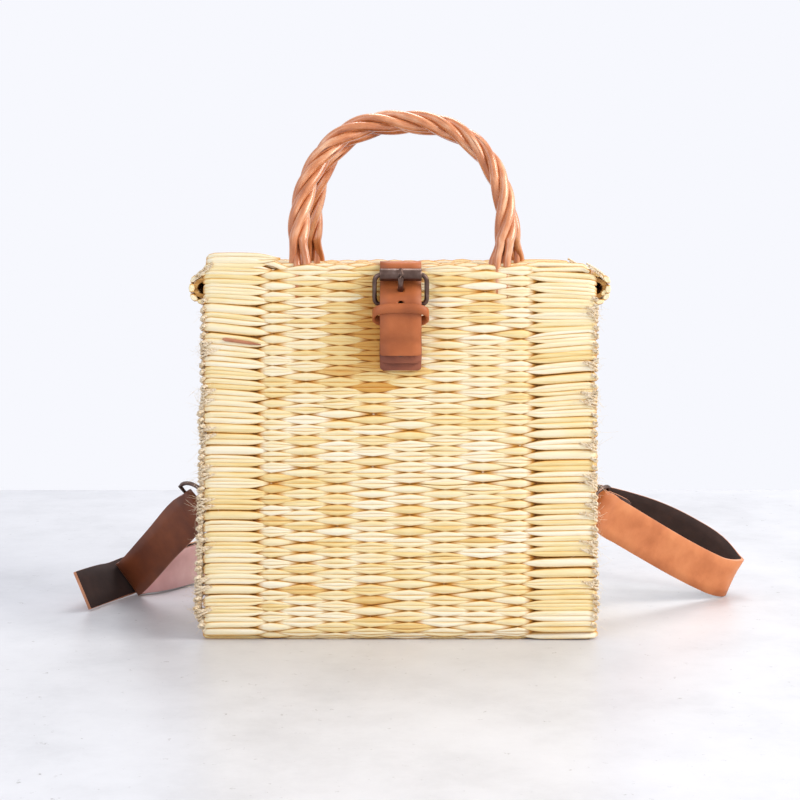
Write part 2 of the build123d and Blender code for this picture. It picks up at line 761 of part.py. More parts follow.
up = (0, 0, 1)
short_path = ring_fold(left_ring, shoulder_width)
left_end = left_ring["middle"] + left_ring["pull"] * 94
short_path += [(left_end, left_ring["bar"], shoulder_width)]
short_path += on_edge(
    [
        ((-174.6, 62.6, floor_gap), (-0.60, 0.27, 0.75)),
        ((-172.6, 65.0, floor_gap), (-0.42, 0.30, 0.85)),
        ((-169.0, 67.2, floor_gap), (-0.22, 0.22, 0.95)),
        ((-164.2, 70.2, floor_gap), (-0.06, 0.08, 0.99)),
        ((-157.0, 77.5, floor_gap), up),
        ((-142.9, 98.3, floor_gap), up),
    ],
    shoulder_width,
)
short_path += line_stations(
    [((-130, 112.5, 17.5), up), ((-115, 123, 24), up), ((-103, 128.5, 30.5), up)], shoulder_width
)
short_path += folded_legs(
    adjuster, shoulder_width, base_front_leg, [(-26, -fold_reach - 1.2), (-14, -fold_reach)]
)
with BuildPart() as short_strap:
    add(ribbon(short_path, leather))
    add(tongue_slot(adjuster), mode=Mode.SUBTRACT)
save(short_strap.part, "short_strap")
save(buckle_frame(adjuster), "strap_buckle_frame")
save(roller(adjuster), "strap_roller")
save(tongue(adjuster), "strap_tongue")
save(keeper(adjuster, shoulder_width), "strap_keeper")

long_path = ring_fold(right_ring, shoulder_width)
turn_side = right_ring["bar"].cross(right_ring["pull"])
turn_start = right_ring["middle"] + right_ring["pull"] * 100
turn_middle = turn_start + turn_side * 13
long_path += [
    (point, right_ring["bar"], shoulder_width)
    for point in arc_around(turn_middle, right_ring["pull"], turn_side, 13, -90, 75, 7)
]
long_path += line_stations(
    [
        ((165, 104, 43), (0.40, 0.04, 0.9)),
        ((135, 119, 53), (0.30, 0.03, 0.95)),
        ((98, 131, 58), (0.18, 0.01, 0.98)),
        ((60, 138, 58.5), (0.08, 0, 1)),
        ((20, 139.5, 54), up),
        ((-14, 137, 47.5), up),
        ((-34, 133, 43), up),
    ],
    shoulder_width,
)
long_path += [(adjuster.at(22, -fold_reach), Vector(0, 0, 1), shoulder_width)]
long_path += straight(
    adjuster, [behind_roller, over_heel, (-14, over_heel[1]), (-24, over_heel[1] - 0.8)], shoulder_width
)
for k in range(-5, 0):
    long_path[k] = (long_path[k][0], Vector(0, 0, 1), shoulder_width)
long_path += line_stations(
    [((-106.5, 136.2, 29.5), up), ((-119.5, 129, 22.5), up), ((-134, 117, 16.5), up)], shoulder_width
)
long_path += on_edge(
    [
        ((-148.0, 101.8, floor_gap), up),
        ((-160.5, 83.0, floor_gap), (-0.03, 0.03, 1)),
        ((-168.8, 75.0, floor_gap), (-0.15, 0.22, 0.97)),
        ((-176.0, 70.0, floor_gap), (-0.42, 0.32, 0.85)),
        ((-181.0, 61.5, floor_gap), (-0.60, 0.25, 0.76)),
        ((-188.0, 47.0, floor_gap), (-0.50, 0.28, 0.82)),
        ((-199.0, 23.0, floor_gap), (-0.35, 0.32, 0.88)),
        ((-201.0, 19.0, floor_gap + 1), (-0.35, 0.32, 0.88)),
    ],
    shoulder_width,
)
with BuildPart() as long_strap:
    add(ribbon(long_path, leather))
    add(strap_holes(adjuster, 2), mode=Mode.SUBTRACT)
save(long_strap.part, "long_strap")
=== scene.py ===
import bpy
import bmesh
import math
import random
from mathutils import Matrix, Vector, noise


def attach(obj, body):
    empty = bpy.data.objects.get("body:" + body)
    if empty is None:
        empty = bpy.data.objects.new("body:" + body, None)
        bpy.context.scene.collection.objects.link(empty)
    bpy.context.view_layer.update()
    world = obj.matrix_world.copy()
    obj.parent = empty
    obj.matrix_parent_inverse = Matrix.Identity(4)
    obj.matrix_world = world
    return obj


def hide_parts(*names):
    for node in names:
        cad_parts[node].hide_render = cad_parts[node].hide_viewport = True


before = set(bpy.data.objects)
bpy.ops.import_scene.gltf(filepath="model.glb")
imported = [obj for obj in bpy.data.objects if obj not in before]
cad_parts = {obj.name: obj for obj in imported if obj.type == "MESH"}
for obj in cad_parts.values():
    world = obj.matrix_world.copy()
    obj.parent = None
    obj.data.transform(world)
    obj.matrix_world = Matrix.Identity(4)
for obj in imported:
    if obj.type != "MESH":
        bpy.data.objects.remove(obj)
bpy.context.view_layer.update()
mm = 0.001
rootBody = "bag"


# Small helpers; every length is in mm until a mesh is made
def linearColour(code):
    channels = [int(code[i : i + 2], 16) / 255 for i in (1, 3, 5)]
    linear = [c / 12.92 if c <= 0.04045 else ((c + 0.055) / 1.055) ** 2.4 for c in channels]
    return (*linear, 1.0)


def fillInputs(tree, node, values):
    for name, value in values.items():
        if isinstance(value, bpy.types.NodeSocket):
            tree.links.new(value, node.inputs[name])
        else:
            node.inputs[name].default_value = value


def addNode(tree, kind, inputs=None, **settings):
    node = tree.nodes.new(kind)
    for name, value in settings.items():
        setattr(node, name, value)
    fillInputs(tree, node, inputs or {})
    return node


def newObject(name, data):
    obj = bpy.data.objects.new(name, data)
    bpy.context.collection.objects.link(obj)
    return obj


def applyNow(piece, modifier):
    bpy.context.view_layer.update()
    result = piece.evaluated_get(bpy.context.evaluated_depsgraph_get())
    plain = bpy.data.meshes.new_from_object(result)
    piece.modifiers.remove(modifier)
    piece.data = plain


def settle(piece, node=None, body=rootBody):
    if node:
        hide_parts(node)
    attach(piece, body)
    return piece


def circle(count):
    angles = [2 * math.pi * k / count for k in range(count)]
    return [(math.cos(a), math.sin(a)) for a in angles]


def bandFaces(rows, count, closed=False):
    # quads between rows of points; a run that isn't closed gets two end faces
    faces = []
    for i in range(rows if closed else rows - 1):
        here, there = i * count, (i + 1) % rows * count
        for k in range(count):
            after = (k + 1) % count
            faces.append([here + k, here + after, there + after, there + k])
    if not closed:
        last = (rows - 1) * count
        faces += [list(range(count))[::-1], [last + k for k in range(count)]]
    return faces


def solidPiece(name, verts, faces, looks, kinds=None, smooth=True, split=False):
    mesh = bpy.data.meshes.new(name)
    mesh.from_pydata([Vector(v) * mm for v in verts], [], faces)
    for look in looks:
        mesh.materials.append(materials[look])
    if kinds:
        mesh.polygons.foreach_set("material_index", kinds)
    mesh.polygons.foreach_set("use_smooth", [smooth] * len(faces))
    work = bmesh.new()
    work.from_mesh(mesh)
    if split:
        bmesh.ops.triangulate(work, faces=[f for f in work.faces if len(f.verts) > 4])
    bmesh.ops.recalc_face_normals(work, faces=work.faces)
    work.to_mesh(mesh)
    work.free()
    return newObject(name, mesh)


# Materials
class Look:
    # one material's nodes; each method adds a node or two and gives back a socket
    def __init__(self, name):
        self.material = bpy.data.materials.new(name)
        self.material.use_nodes = True
        self.tree = self.material.node_tree
        self.tree.nodes.clear()
        self.shader = self.add("BsdfPrincipled")
        self.add("OutputMaterial", {"Surface": self.shader.outputs["BSDF"]})

    def add(self, kind, inputs=None, **settings):
        return addNode(self.tree, "ShaderNode" + kind, inputs, **settings)

    def place(self):
        return self.add("TexCoord").outputs["Object"]

    def attribute(self, name):
        return self.add("Attribute", attribute_name=name).outputs["Fac"]

    def noise(self, vector, scale, detail=2.0, roughness=0.5):
        # three scales stretch the pattern
        if isinstance(scale, tuple):
            vector = self.add("Mapping", {"Vector": vector, "Scale": scale}).outputs["Vector"]
            scale = 1.0
        inputs = {"Vector": vector, "Scale": scale, "Detail": detail, "Roughness": roughness}
        return self.add("TexNoise", inputs).outputs["Fac"]

    def scaledSum(self, first, share, second=0.0):
        inputs = {0: first, 1: share, 2: second}
        return self.add("Math", inputs, operation="MULTIPLY_ADD").outputs[0]

    def ramp(self, factor, stops):
        node = self.add("ValToRGB", {"Fac": factor})
        while len(node.color_ramp.elements) < len(stops):
            node.color_ramp.elements.new(0.5)
        for element, (position, code) in zip(node.color_ramp.elements, stops):
            element.position = position
            element.color = linearColour(code)
        return node.outputs["Color"]

    def multiplied(self, first, second):
        inputs = {0: 1.0, 6: first, 7: second}
        return self.add("Mix", inputs, data_type="RGBA", blend_type="MULTIPLY").outputs[2]

    def finish(self, colour, roughness, bump=None, others=None):
        values = {"Base Color": colour, "Roughness": roughness, **(others or {})}
        if bump:
            inputs = dict(zip(("Height", "Strength", "Distance"), bump))
            values["Normal"] = self.add("Bump", inputs).outputs["Normal"]
        fillInputs(self.tree, self.shader, values)
        return self.material


def reedMaterial(name, grainScale):
    # peeled marsh reed, dried and split: cream crowns, fibres and a slight wax shine; painted shade
    # darkens the ends where reeds dive and turns the flanks, which face up or down, gold
    look = Look(name)
    tone, shade, place = look.attribute("tone"), look.attribute("shade"), look.place()
    fibres = look.noise(place, grainScale, 4.0)
    patches = look.noise(place, 45.0)
    toned = look.scaledSum(tone, 0.5, look.scaledSum(fibres, 0.5))
    base = look.ramp(look.scaledSum(patches, 0.25, toned), [
        (0.20, "#dba24a"), (0.36, "#efca80"), (0.48, "#f6dc9a"), (0.62, "#fceaba"),
        (0.82, "#fff5da"),
    ])
    shadow = look.ramp(shade, [(0.0, "#8c5a20"), (0.42, "#dba650"), (0.85, "#ffffff")])
    # painted shade: the more a reed's surface faces up or down, into the valleys between reeds, the
    # darker gold it is painted
    facing = look.add("NewGeometry").outputs["Normal"]
    upright = look.add("SeparateXYZ", {"Vector": facing}).outputs["Z"]
    flank = look.add("Math", {0: upright}, operation="ABSOLUTE").outputs[0]
    goldenShade = look.ramp(flank, [(0.45, "#ffffff"), (0.74, "#f4d294"), (0.97, "#bb8741")])
    colour = look.multiplied(look.multiplied(base, shadow), goldenShade)
    return look.finish(colour, 0.42, (fibres, 0.3, 0.0003), {"IOR": 1.48})


def matCoreMaterial():
    # the shaded inside of the mat, seen between the reeds: golden brown, ribs in the bump
    look = Look("shadedReed")
    ribs = look.noise(look.place(), (40.0, 40.0, 500.0))
    colour = look.ramp(ribs, [(0.3, "#8f6228"), (0.55, "#b9853f"), (0.75, "#dcae66")])
    return look.finish(colour, 0.7, (ribs, 0.6, 0.001))


def wickerMaterial():
    # steamed willow rods under amber varnish: orange brown, long fibres, dark scuffs, a gloss
    look = Look("varnishedWillow")
    strand = look.add("UVMap", uv_map="strand").outputs["UV"]
    fibres = look.noise(strand, (4.0, 14.0, 1.0), 4.0)
    patches = look.noise(strand, (7.0, 9.0, 1.0), 3.0)
    total = look.scaledSum(look.attribute("tone"), 0.3, fibres)
    base = look.ramp(
        total, [(0.38, "#944a22"), (0.52, "#c0703f"), (0.66, "#d88a58"), (0.82, "#f0b88e")]
    )
    scuff = look.ramp(patches, [(0.27, "#7a4a34"), (0.34, "#ffffff")])
    varnish = {"IOR": 1.5, "Coat Weight": 0.8, "Coat Roughness": 0.16}
    return look.finish(look.multiplied(base, scuff), 0.34, (fibres, 0.5, 0.0006), varnish)


def leatherMaterial(name, light, middle, dark, roughness):
    # vegetable tanned cowhide: fine pores, cloudy colour and a waxed finish
    look = Look(name)
    place = look.place()
    clouds = look.noise(place, 60.0, 6.0)
    pores = look.add("TexVoronoi", {"Vector": place, "Scale": 1400.0}).outputs["Distance"]
    height = look.scaledSum(pores, 0.6, look.noise(place, 700.0, 3.0))
    colour = look.ramp(clouds, [(0.3, dark), (0.5, middle), (0.72, light)])
    return look.finish(colour, roughness, (height, 0.25, 0.0002))


def bronzeMaterial():
    # cast zinc with an antique bronze plating, lighter and darker in random patches
    look = Look("antiqueBronze")
    wear = look.noise(look.place(), 180.0)
    colour = look.ramp(wear, [(0.30, "#5b4841"), (0.55, "#6c5850"), (0.80, "#85726a")])
    return look.finish(colour, 0.36, None, {"Metallic": 1.0})


def juteMaterial():
    # two ply jute twine: dull beige with loose pale fibres
    look = Look("juteTwine")
    strands = look.noise(look.place(), 900.0, 4.0)
    total = look.scaledSum(look.attribute("tone"), 0.5, strands)
    colour = look.ramp(total, [(0.35, "#9c7a4e"), (0.6, "#d4b68a"), (0.9, "#f6e6ca")])
    return look.finish(colour, 0.85, (strands, 0.6, 0.0004))


def stoneMaterial():
    # pale honed stone: grey clouds, a few specks and a faint sheen
    look = Look("honedStone")
    place = look.place()
    clouds = look.noise(place, 9.0, 9.0, 0.7)
    specks = look.noise(place, 130.0, 6.0, 0.75)
    stone = look.ramp(clouds, [(0.3, "#c6c7cb"), (0.5, "#d4d5d9"), (0.7, "#dcdde1")])
    dust = look.ramp(specks, [(0.30, "#b5b2af"), (0.37, "#ffffff")])
    return look.finish(look.multiplied(stone, dust), 0.36)


# each leather's name, light, middle and dark colour, and roughness; stained is a reed's red skin
leatherLooks = {
    "grain": ("tanLeather", "#d98a55", "#cc7a46", "#b96836", 0.48),
    "saddle": ("saddleLeather", "#c06c39", "#b15f2d", "#9f5224", 0.5),
    # partly painted shade: a dark red leather, the base strap's grain as it looks in shade together
    # with its burnished edges
    "umberShade": ("umberShadeLeather", "#a05c3d", "#8b4a30", "#713926", 0.55),
    # painted shade: a darker copy of the tan grain for the short strap, which faces away from the
    # light
    "shadedGrain": ("shadedTanLeather", "#804220", "#70371a", "#5f2c14", 0.5),
    # painted shade: the suede back made very dark, as it looks in shade
    "shadedSuede": ("shadedSuedeBack", "#46312c", "#382622", "#2b1c19", 0.9),
    "edge": ("burnishedLeatherEdge", "#a8623e", "#8f4d2e", "#743a20", 0.5),
    "rawEdge": ("rawLeatherEdge", "#e0a482", "#cd8b66", "#b57450", 0.7),
    "stained": ("redReedSkin", "#cf9270", "#ba7854", "#9c6040", 0.45),
    # painted light: the same suede back made pale, as it looks where lit
    "litSuede": ("litSuedeBack", "#f4d0d0", "#ebc0c2", "#dcaeb0", 0.9),
}
materials = {
    "reedAcross": reedMaterial("strawReed", (25.0, 900.0, 900.0)),
    "reedDeep": reedMaterial("strawReedSide", (900.0, 25.0, 900.0)),
    "core": matCoreMaterial(),
    "wicker": wickerMaterial(),
    **{key: leatherMaterial(*look) for key, look in leatherLooks.items()},
    "bronze": bronzeMaterial(),
    "jute": juteMaterial(),
}
print("materials ready")


# Tubes that follow lines: reeds, twine and wire
def tubeTree(name, sides, flatness, material):
    tree = bpy.data.node_groups.new(name, "GeometryNodeTree")
    newSocket = tree.interface.new_socket
    newSocket("Geometry", in_out="INPUT", socket_type="NodeSocketGeometry")
    newSocket("Sides", in_out="INPUT", socket_type="NodeSocketInt").default_value = sides
    newSocket("Flatness", in_out="INPUT", socket_type="NodeSocketFloat").default_value = flatness
    newSocket("Geometry", in_out="OUTPUT", socket_type="NodeSocketGeometry")

    def step(kind, inputs, **settings):
        return addNode(tree, "GeometryNode" + kind, inputs, **settings).outputs[0]

    entry = addNode(tree, "NodeGroupInput").outputs
    curves = step("MeshToCurve", {"Mesh": entry["Geometry"]})
    level = step("SetCurveNormal", {"Curve": curves}, mode="Z_UP")
    tilt = step("InputNamedAttribute", {"Name": "tilt"}, data_type="FLOAT")
    turned = step("SetCurveTilt", {"Curve": level, "Tilt": tilt})
    thick = step("InputNamedAttribute", {"Name": "thick"}, data_type="FLOAT")
    ring = step("CurvePrimitiveCircle", {"Resolution": entry["Sides"], "Radius": 1.0})
    oval = addNode(tree, "ShaderNodeCombineXYZ", {"X": entry["Flatness"], "Y": 1.0, "Z": 1.0})
    flat = step("Transform", {"Geometry": ring, "Scale": oval.outputs[0]})
    tubes = step(
        "CurveToMesh",
        {"Curve": turned, "Profile Curve": flat, "Scale": thick, "Fill Caps": True},
    )
    smooth = step("SetShadeSmooth", {"Geometry": tubes})
    real = step("RealizeInstances", {"Geometry": smooth})
    coat = step("SetMaterial", {"Geometry": real, "Material": material})
    addNode(tree, "NodeGroupOutput", {0: coat})
    return tree


def tubePiece(name, lines, sides, look, node=None, closed=False, flatness=1.0):
    # lines of (point, radius, tone, shade and, where the tube is flat, its turn)
    verts, edges = [], []
    fields = {"thick": [], "tone": [], "shade": [], "tilt": []}
    for line in lines:
        first = len(verts)
        for point, radius, tone, shade, *turn in line:
            verts.append([c * mm for c in point])
            values = (radius * mm, tone, shade, turn[0] if turn else 0.0)
            for field, value in zip(fields.values(), values):
                field.append(value)
        edges += [(k, k + 1) for k in range(first, len(verts) - 1)]
        if closed:
            edges.append((len(verts) - 1, first))
    guide = bpy.data.meshes.new(name + "Guide")
    guide.from_pydata(verts, edges, [])
    for label, field in fields.items():
        guide.attributes.new(label, "FLOAT", "POINT").data.foreach_set("value", field)
    piece = newObject(name, guide)
    modifier = piece.modifiers.new("tubes", "NODES")
    modifier.node_group = tubeTree(name + "Tree", sides, flatness, materials[look])
    applyNow(piece, modifier)
    return settle(piece, node)


# The woven mat
straight = ((0, 0.0), (226, 0.0))
weave = {
    "pick": 6.4,
    "warpTop": (-76.4, -55.4, -35.2, -14.2, 6.6, 28.9, 51.4, 73.4),
    "warpFoot": (-78.1, -58.8, -38.6, -18.4, 5.4, 26.1, 48.6, 70.7),
    "height": 225.0,
    "plane": 53.1,
    "insidePlane": 48.6,
    "crownHalf": 3.3,
    "crownOut": 1.85,
    "diveOut": -0.35,
    "flatness": 0.6,
    "foldRadius": 9.0,
    "finger": 118.2,
    "insideFinger": 106.0,
    "under": 11.5,
    "warpOut": -0.7,
    # how far the fingers at each side slope, by height
    "leftSlope": ((0, 0.0), (90, -0.01), (130, -0.04), (160, -0.09), (185, -0.12), (205, -0.07),
                  (226, -0.02)),
    "rightSlope": ((0, 0.02), (110, 0.03), (150, 0.08), (180, 0.09), (195, 0.0), (210, -0.05),
                   (226, -0.05)),
    # two loose reeds over the left corner of the rim: lift and where the tip lies
    "cornerReeds": ((1.6, -78.0), (4.2, -72.0)),
    "cornerEdge": -116.4,
}
# one to three reeds lie side by side: the odds of each, and how much they differ
bundle = {"stems": (22, 52, 26), "tone": 0.14, "stemTone": 0.1, "width": (0.94, 1.03),
          "overlap": (1.0, 1.22, 1.28), "lift": (-0.18, 0.12), "slack": (-0.12, 0.12),
          "least": 0.4, "wander": 0.4, "rowTone": 0.05, "rowLift": 0.22, "dark": (0.06, 0.3)}
# painted shade: the reeds left of the closure strap are darkened to gold, where its shade falls
strapShadePatch = {"x": -21, "wide": 15, "height": 184, "tall": 48, "depth": 1.5}
rim = {"edge": 113.6, "steps": 60, "height": 223.4, "radius": 1.75, "end": 1.1,
       "rows": ((-0.3, 0.2), (-1.9, 1.0), (-3.4, 0.9), (-4.9, 0.0)),
       "wave": 0.8, "halfWave": 10.5, "wander": 1.1, "backDrop": 0.8,
       # the front rises at the left and both panels fall at their corners: by, from x, over
       "rise": (3.4, 70, 14), "fall": (2.5, 108, 6)}
matCore = {"outer": 52.0, "inner": 49.0, "halfWidth": 115.0, "rim": 223.0, "floor": 6.0}
# the red reed near the top left: x, y and radius
redReed = {"run": ((-106.5, -55.3, 0.5), (-104.5, -55.55, 1.1), (-90.0, -55.55, 0.95),
                   (-83.5, -55.3, 0.35)), "height": 181.0, "fall": 0.15}


def along(table, at):
    for (a, first), (b, second) in zip(table, table[1:]):
        if at <= b:
            return first + (second - first) * max(0.0, (at - a) / (b - a))
    return table[-1][1]


def panelPoint(sign, x, height, out):
    # a point of the folded mat and the turn of a flat reed there
    radius = weave["foldRadius"]
    plane = weave["plane"]
    if height >= radius:
        return (x, sign * (plane + out), height), 0.0
    angle = min(1.35, (radius - height) / radius)
    spread = radius + out
    y = sign * (plane - radius + spread * math.cos(angle))
    return (x, y, radius - spread * math.sin(angle)), -sign * angle


def addFloat(lines, rng, spans, level, place, look, pivot=0.0, slope=0.0):
    # one bundle of flat reeds through spans of (x, share of full width, out, shade, drop)
    stems = rng.choices((1, 2, 3), bundle["stems"])[0]
    tone = rng.gauss(look, bundle["tone"])
    half = weave["crownHalf"] * rng.uniform(*bundle["width"])
    for j in range(stems):
        side = (j - (stems - 1) / 2) * 2 / stems
        own = half / stems * bundle["overlap"][stems - 1]
        stemTone = min(1.0, max(-0.5, rng.gauss(tone, bundle["stemTone"])))
        lift = rng.uniform(*bundle["lift"])
        slack = rng.uniform(*bundle["slack"])
        line = []
        for k, (x, share, out, shade, drop) in enumerate(spans):
            size = max(bundle["least"], own * share)
            wander = noise.noise(Vector((x * 0.03, level * 0.07, j * 3.1)))
            z = level + side * half * share + slack * math.sin(k * 1.1)
            z += slope * (x - pivot) - drop + wander * bundle["wander"]
            point, turn = place(x, z, out + lift * share - size * weave["flatness"])
            line.append((point, size, stemTone, shade, turn))
        lines.append(line)


def floatSpans(left, crown, right, underLeft=0.0, underRight=0.0):
    # over the warp at its crown; its ends dive at the next warps or under the fingers
    high, low = weave["crownOut"], weave["diveOut"]
    spans = []
    for t in (-1.0, -0.9, -0.74, -0.54, -0.3, 0.0, 0.3, 0.54, 0.74, 0.9, 1.0):
        reach = abs(t)
        end, under = (left, underLeft) if t < 0 else (right, underRight)
        out = low + (high - low) * math.cos(reach * math.pi / 2) ** 0.8 - under * reach
        share = max(0.06, 1 - reach ** 1.18)
        shade = 1.0 if reach < 0.45 else 1.0 - 0.85 * (reach - 0.45) / 0.55
        x = crown + (end - crown) * reach
        spans.append((x, share, out, shade - 0.45 * under * reach, 0.0))
    return spans


def fingerSpans(edge, tip):
    # from a corner, where the reeds turn round the panel's edge, to the first warp
    shape = (
        (0.0, 0.5, -1.6, 0.3, 2.2), (0.012, 0.72, 0.0, 0.55, 1.5), (0.045, 0.92, 1.2, 0.85, 0.7),
        (0.12, 1.0, 1.75, 1.0, 0.15), (0.3, 1.0, 1.85, 1.0, 0.0), (0.5, 1.0, 1.85, 1.0, 0.0),
        (0.68, 0.95, 1.8, 1.0, 0.0), (0.78, 0.8, 1.65, 1.0, 0.0), (0.87, 0.55, 1.25, 0.9, 0.0),
        (0.94, 0.3, 0.6, 0.7, 0.0), (1.0, 0.08, -0.3, 0.35, 0.0),
    )
    return [(edge + (tip - edge) * t, *rest) for t, *rest in shape]


def matWarps(height):
    part = min(1.0, max(0.0, height / weave["height"]))
    return [low + (top - low) * part for top, low in zip(weave["warpTop"], weave["warpFoot"])]


def strapShade(x, height):
    beside = math.exp(-((x - strapShadePatch["x"]) / strapShadePatch["wide"]) ** 2)
    level = max(0.0, 1 - abs(height - strapShadePatch["height"]) / strapShadePatch["tall"])
    return strapShadePatch["depth"] * (beside * level)


def reedLines(warpsAt, edge, rows, seed, place, slopes=(straight, straight), goldenShade=None):
    rng = random.Random(seed)
    chance, darker = bundle["dark"]
    lines = []
    for row in range(*rows):
        height = (row + 0.5) * weave["pick"] / 2
        warps = warpsAt(height)
        level = height + rng.uniform(-bundle["rowLift"], bundle["rowLift"])
        base = 0.52 + rng.gauss(0, bundle["rowTone"])
        for k in range(row % 2, len(warps), 2):
            crown = warps[k]
            first, last = k == 0, k == len(warps) - 1
            left = crown - weave["under"] if first else warps[k - 1]
            right = crown + weave["under"] if last else warps[k + 1]
            spans = floatSpans(left, crown, right, float(first), float(last))
            # painted shade: reeds beside the closure strap are made darker gold
            tone = base - (goldenShade(crown, height) if goldenShade else 0.0)
            addFloat(lines, rng, spans, level, place, tone - darker * (rng.random() < chance))
        if row % 2:
            spans = fingerSpans(-edge, warps[0] - 0.4)
            slope = along(slopes[0], height)
            addFloat(lines, rng, spans, level, place, base, warps[0], slope)
        if (row + len(warps)) % 2 == 0:
            spans = fingerSpans(edge, warps[-1] + 0.4)
            slope = along(slopes[1], height)
            addFloat(lines, rng, spans, level, place, base + 0.06, warps[-1], slope)
    return lines


def warpLines(warpsAt, low, high, place, seed):
    rng = random.Random(seed)
    steps = 24
    lines = []
    for k in range(len(warpsAt(0))):
        line = []
        for i in range(steps + 1):
            height = low + (high - low) * i / steps
            point, turn = place(warpsAt(height)[k], height, weave["warpOut"])
            line.append((point, 1.0, rng.uniform(0.6, 0.9), 0.9, turn))
        lines.append(line)
    return lines


def rimLines(sign, seed):
    # bundles along the top of a panel; each bulges up between two warps
    rng = random.Random(seed + 50)
    warps = matWarps(weave["height"])
    edge, steps = rim["edge"], rim["steps"]
    lines = []
    for row, (out, rise) in enumerate(rim["rows"]):
        tone = rng.uniform(0.5, 0.8)
        line = []
        for i in range(steps + 1):
            x = -edge + 2 * edge * i / steps
            near = min(warps, key=lambda w: abs(w - x))
            phase = math.pi * (min(1.0, abs(x - near) / rim["halfWave"]) + row % 2)
            z = rim["height"] + rise + rim["wave"] * math.cos(phase)
            z += noise.noise(Vector((x * 0.03, seed, row))) * rim["wander"]
            by, start, over = rim["rise"]
            z += by * min(1.0, max(0.0, (-x - start) / over)) if sign < 0 else -rim["backDrop"]
            by, start, over = rim["fall"]
            z -= by * max(0.0, (abs(x) - start) / over) ** 2
            size = rim["radius"] if 0 < i < steps else rim["end"]
            line.append(((x, sign * (weave["plane"] + out), z), size, tone, 1.0))
        lines.append(line)
    return lines


def panelPiece(name, lines, sides=8, look="reedAcross"):
    tubePiece(name, lines, sides, look, flatness=weave["flatness"])


def buildMat():
    top = int(weave["height"] / weave["pick"] * 2)
    for name, sign, seed in (("frontWeave", -1, 11), ("backWeave", 1, 12)):
        place = lambda x, h, out, sign=sign: panelPoint(sign, x, h, out)
        front = sign < 0
        slopes = (weave["leftSlope"], weave["rightSlope"]) if front else (straight, straight)
        goldenShade = strapShade if front else None
        lines = reedLines(matWarps, weave["finger"], (-1, top), seed, place, slopes, goldenShade)
        lines += warpLines(matWarps, 1, weave["height"] - 2, place, seed)
        lines += rimLines(sign, seed)
        if front:
            rng = random.Random(5)
            for lift, tip in weave["cornerReeds"]:
                spans = fingerSpans(weave["cornerEdge"], tip)
                addFloat(lines, rng, spans, weave["height"] + lift, place, 0.6, tip, -0.015)
        panelPiece(name, lines)
    streak = []
    for x, y, radius in redReed["run"]:
        z = redReed["height"] - redReed["fall"] * (x + 105)
        streak.append(((x, y, z), radius, 0.5, 1.0))
    tubePiece("redReed", [streak], 8, "stained", flatness=0.5)
    for name, sign, seed in (("frontWeaveInside", -1, 13), ("backWeaveInside", 1, 14)):
        place = lambda x, h, out, sign=sign: ((x, sign * (weave["insidePlane"] - out), h), 0.0)
        lines = reedLines(matWarps, weave["insideFinger"], (2, top - 1), seed, place)
        panelPiece(name, lines, 5)


def coreShell():
    # the mat's solid core, a trough open at its two ends, just inside the reeds
    outer, inner, top = matCore["outer"], matCore["inner"], matCore["rim"]
    low, radius = matCore["floor"], weave["foldRadius"]
    angles = [math.pi / 2 * i / 8 for i in range(9)]
    arc = [(outer - radius + radius * math.cos(a), radius - radius * math.sin(a)) for a in angles]
    profile = [(-outer, top), (-inner, top), (-inner, low), (inner, low), (inner, top),
               (outer, top)] + arc + [(-y, z) for y, z in reversed(arc)]
    ends = (-matCore["halfWidth"], matCore["halfWidth"])
    verts = [(x, y, max(0.02, z)) for x in ends for y, z in profile]
    faces = bandFaces(2, len(profile))
    core = solidPiece("matCore", verts, faces, ["core"], smooth=False, split=True)
    settle(core, "wrap_mat")


# The side mats and their rolled hems
gusset = {
    "coreX": 111.6, "inner": 106.2, "lift": 0.6, "warps": (-33.0, -11.5, 11.0, 33.0), "half": 47.5,
    "insideHalf": 46.0, "low": 6.2, "top": 204.0, "hemX": 118.4, "hemZ": 211.6, "hemTall": 1.14,
    "hemHalf": 53.4, "hemLayers": ((7.1, 9, 3.0), (4.9, 6, 2.6)), "hemClear": (48.0, 115.9),
    "tubeHole": 3.6, "tubeRadius": 6.0, "tubeHalf": 52.4,
}


def hemLines(side, seed):
    # the gusset's top edge is rolled outward: flat reeds lie round a hollow in two layers
    rng = random.Random(seed)
    half = gusset["hemHalf"]
    clearY, clearX = gusset["hemClear"]
    lines = []
    for layer, (radius, count, size) in enumerate(gusset["hemLayers"]):
        for k in range(count):
            angle = 2 * math.pi * (k + 0.5 * layer + rng.uniform(-0.12, 0.12)) / count
            reach = radius + rng.uniform(-0.35, 0.3)
            low = -half + rng.uniform(-1.3, 1.5) + layer * 0.8
            high = half + rng.uniform(-1.5, 1.3) - layer * 0.8
            tone = min(1.0, max(0.0, rng.gauss(0.5, 0.16)))
            line = []
            for t in (0, 0.015, 0.06, 0.3, 0.5, 0.7, 0.94, 0.985, 1):
                y = low + (high - low) * t
                squeeze = 1.0 - 0.3 * max(0.0, 1 - min(t, 1 - t) / 0.015) ** 2
                swell = reach + 0.3 * math.sin(y * 0.12 + k)
                x = side * (gusset["hemX"] + swell * math.cos(angle))
                z = gusset["hemZ"] + swell * math.sin(angle) * gusset["hemTall"]
                line.append(((x, y, z), size * squeeze, tone, 1.0, -side * angle))
            # what would run into the front or back panel is left off
            lines.append([p for p in line if abs(p[0][1]) < clearY or abs(p[0][0]) > clearX])
    return [line for line in lines if len(line) > 2]


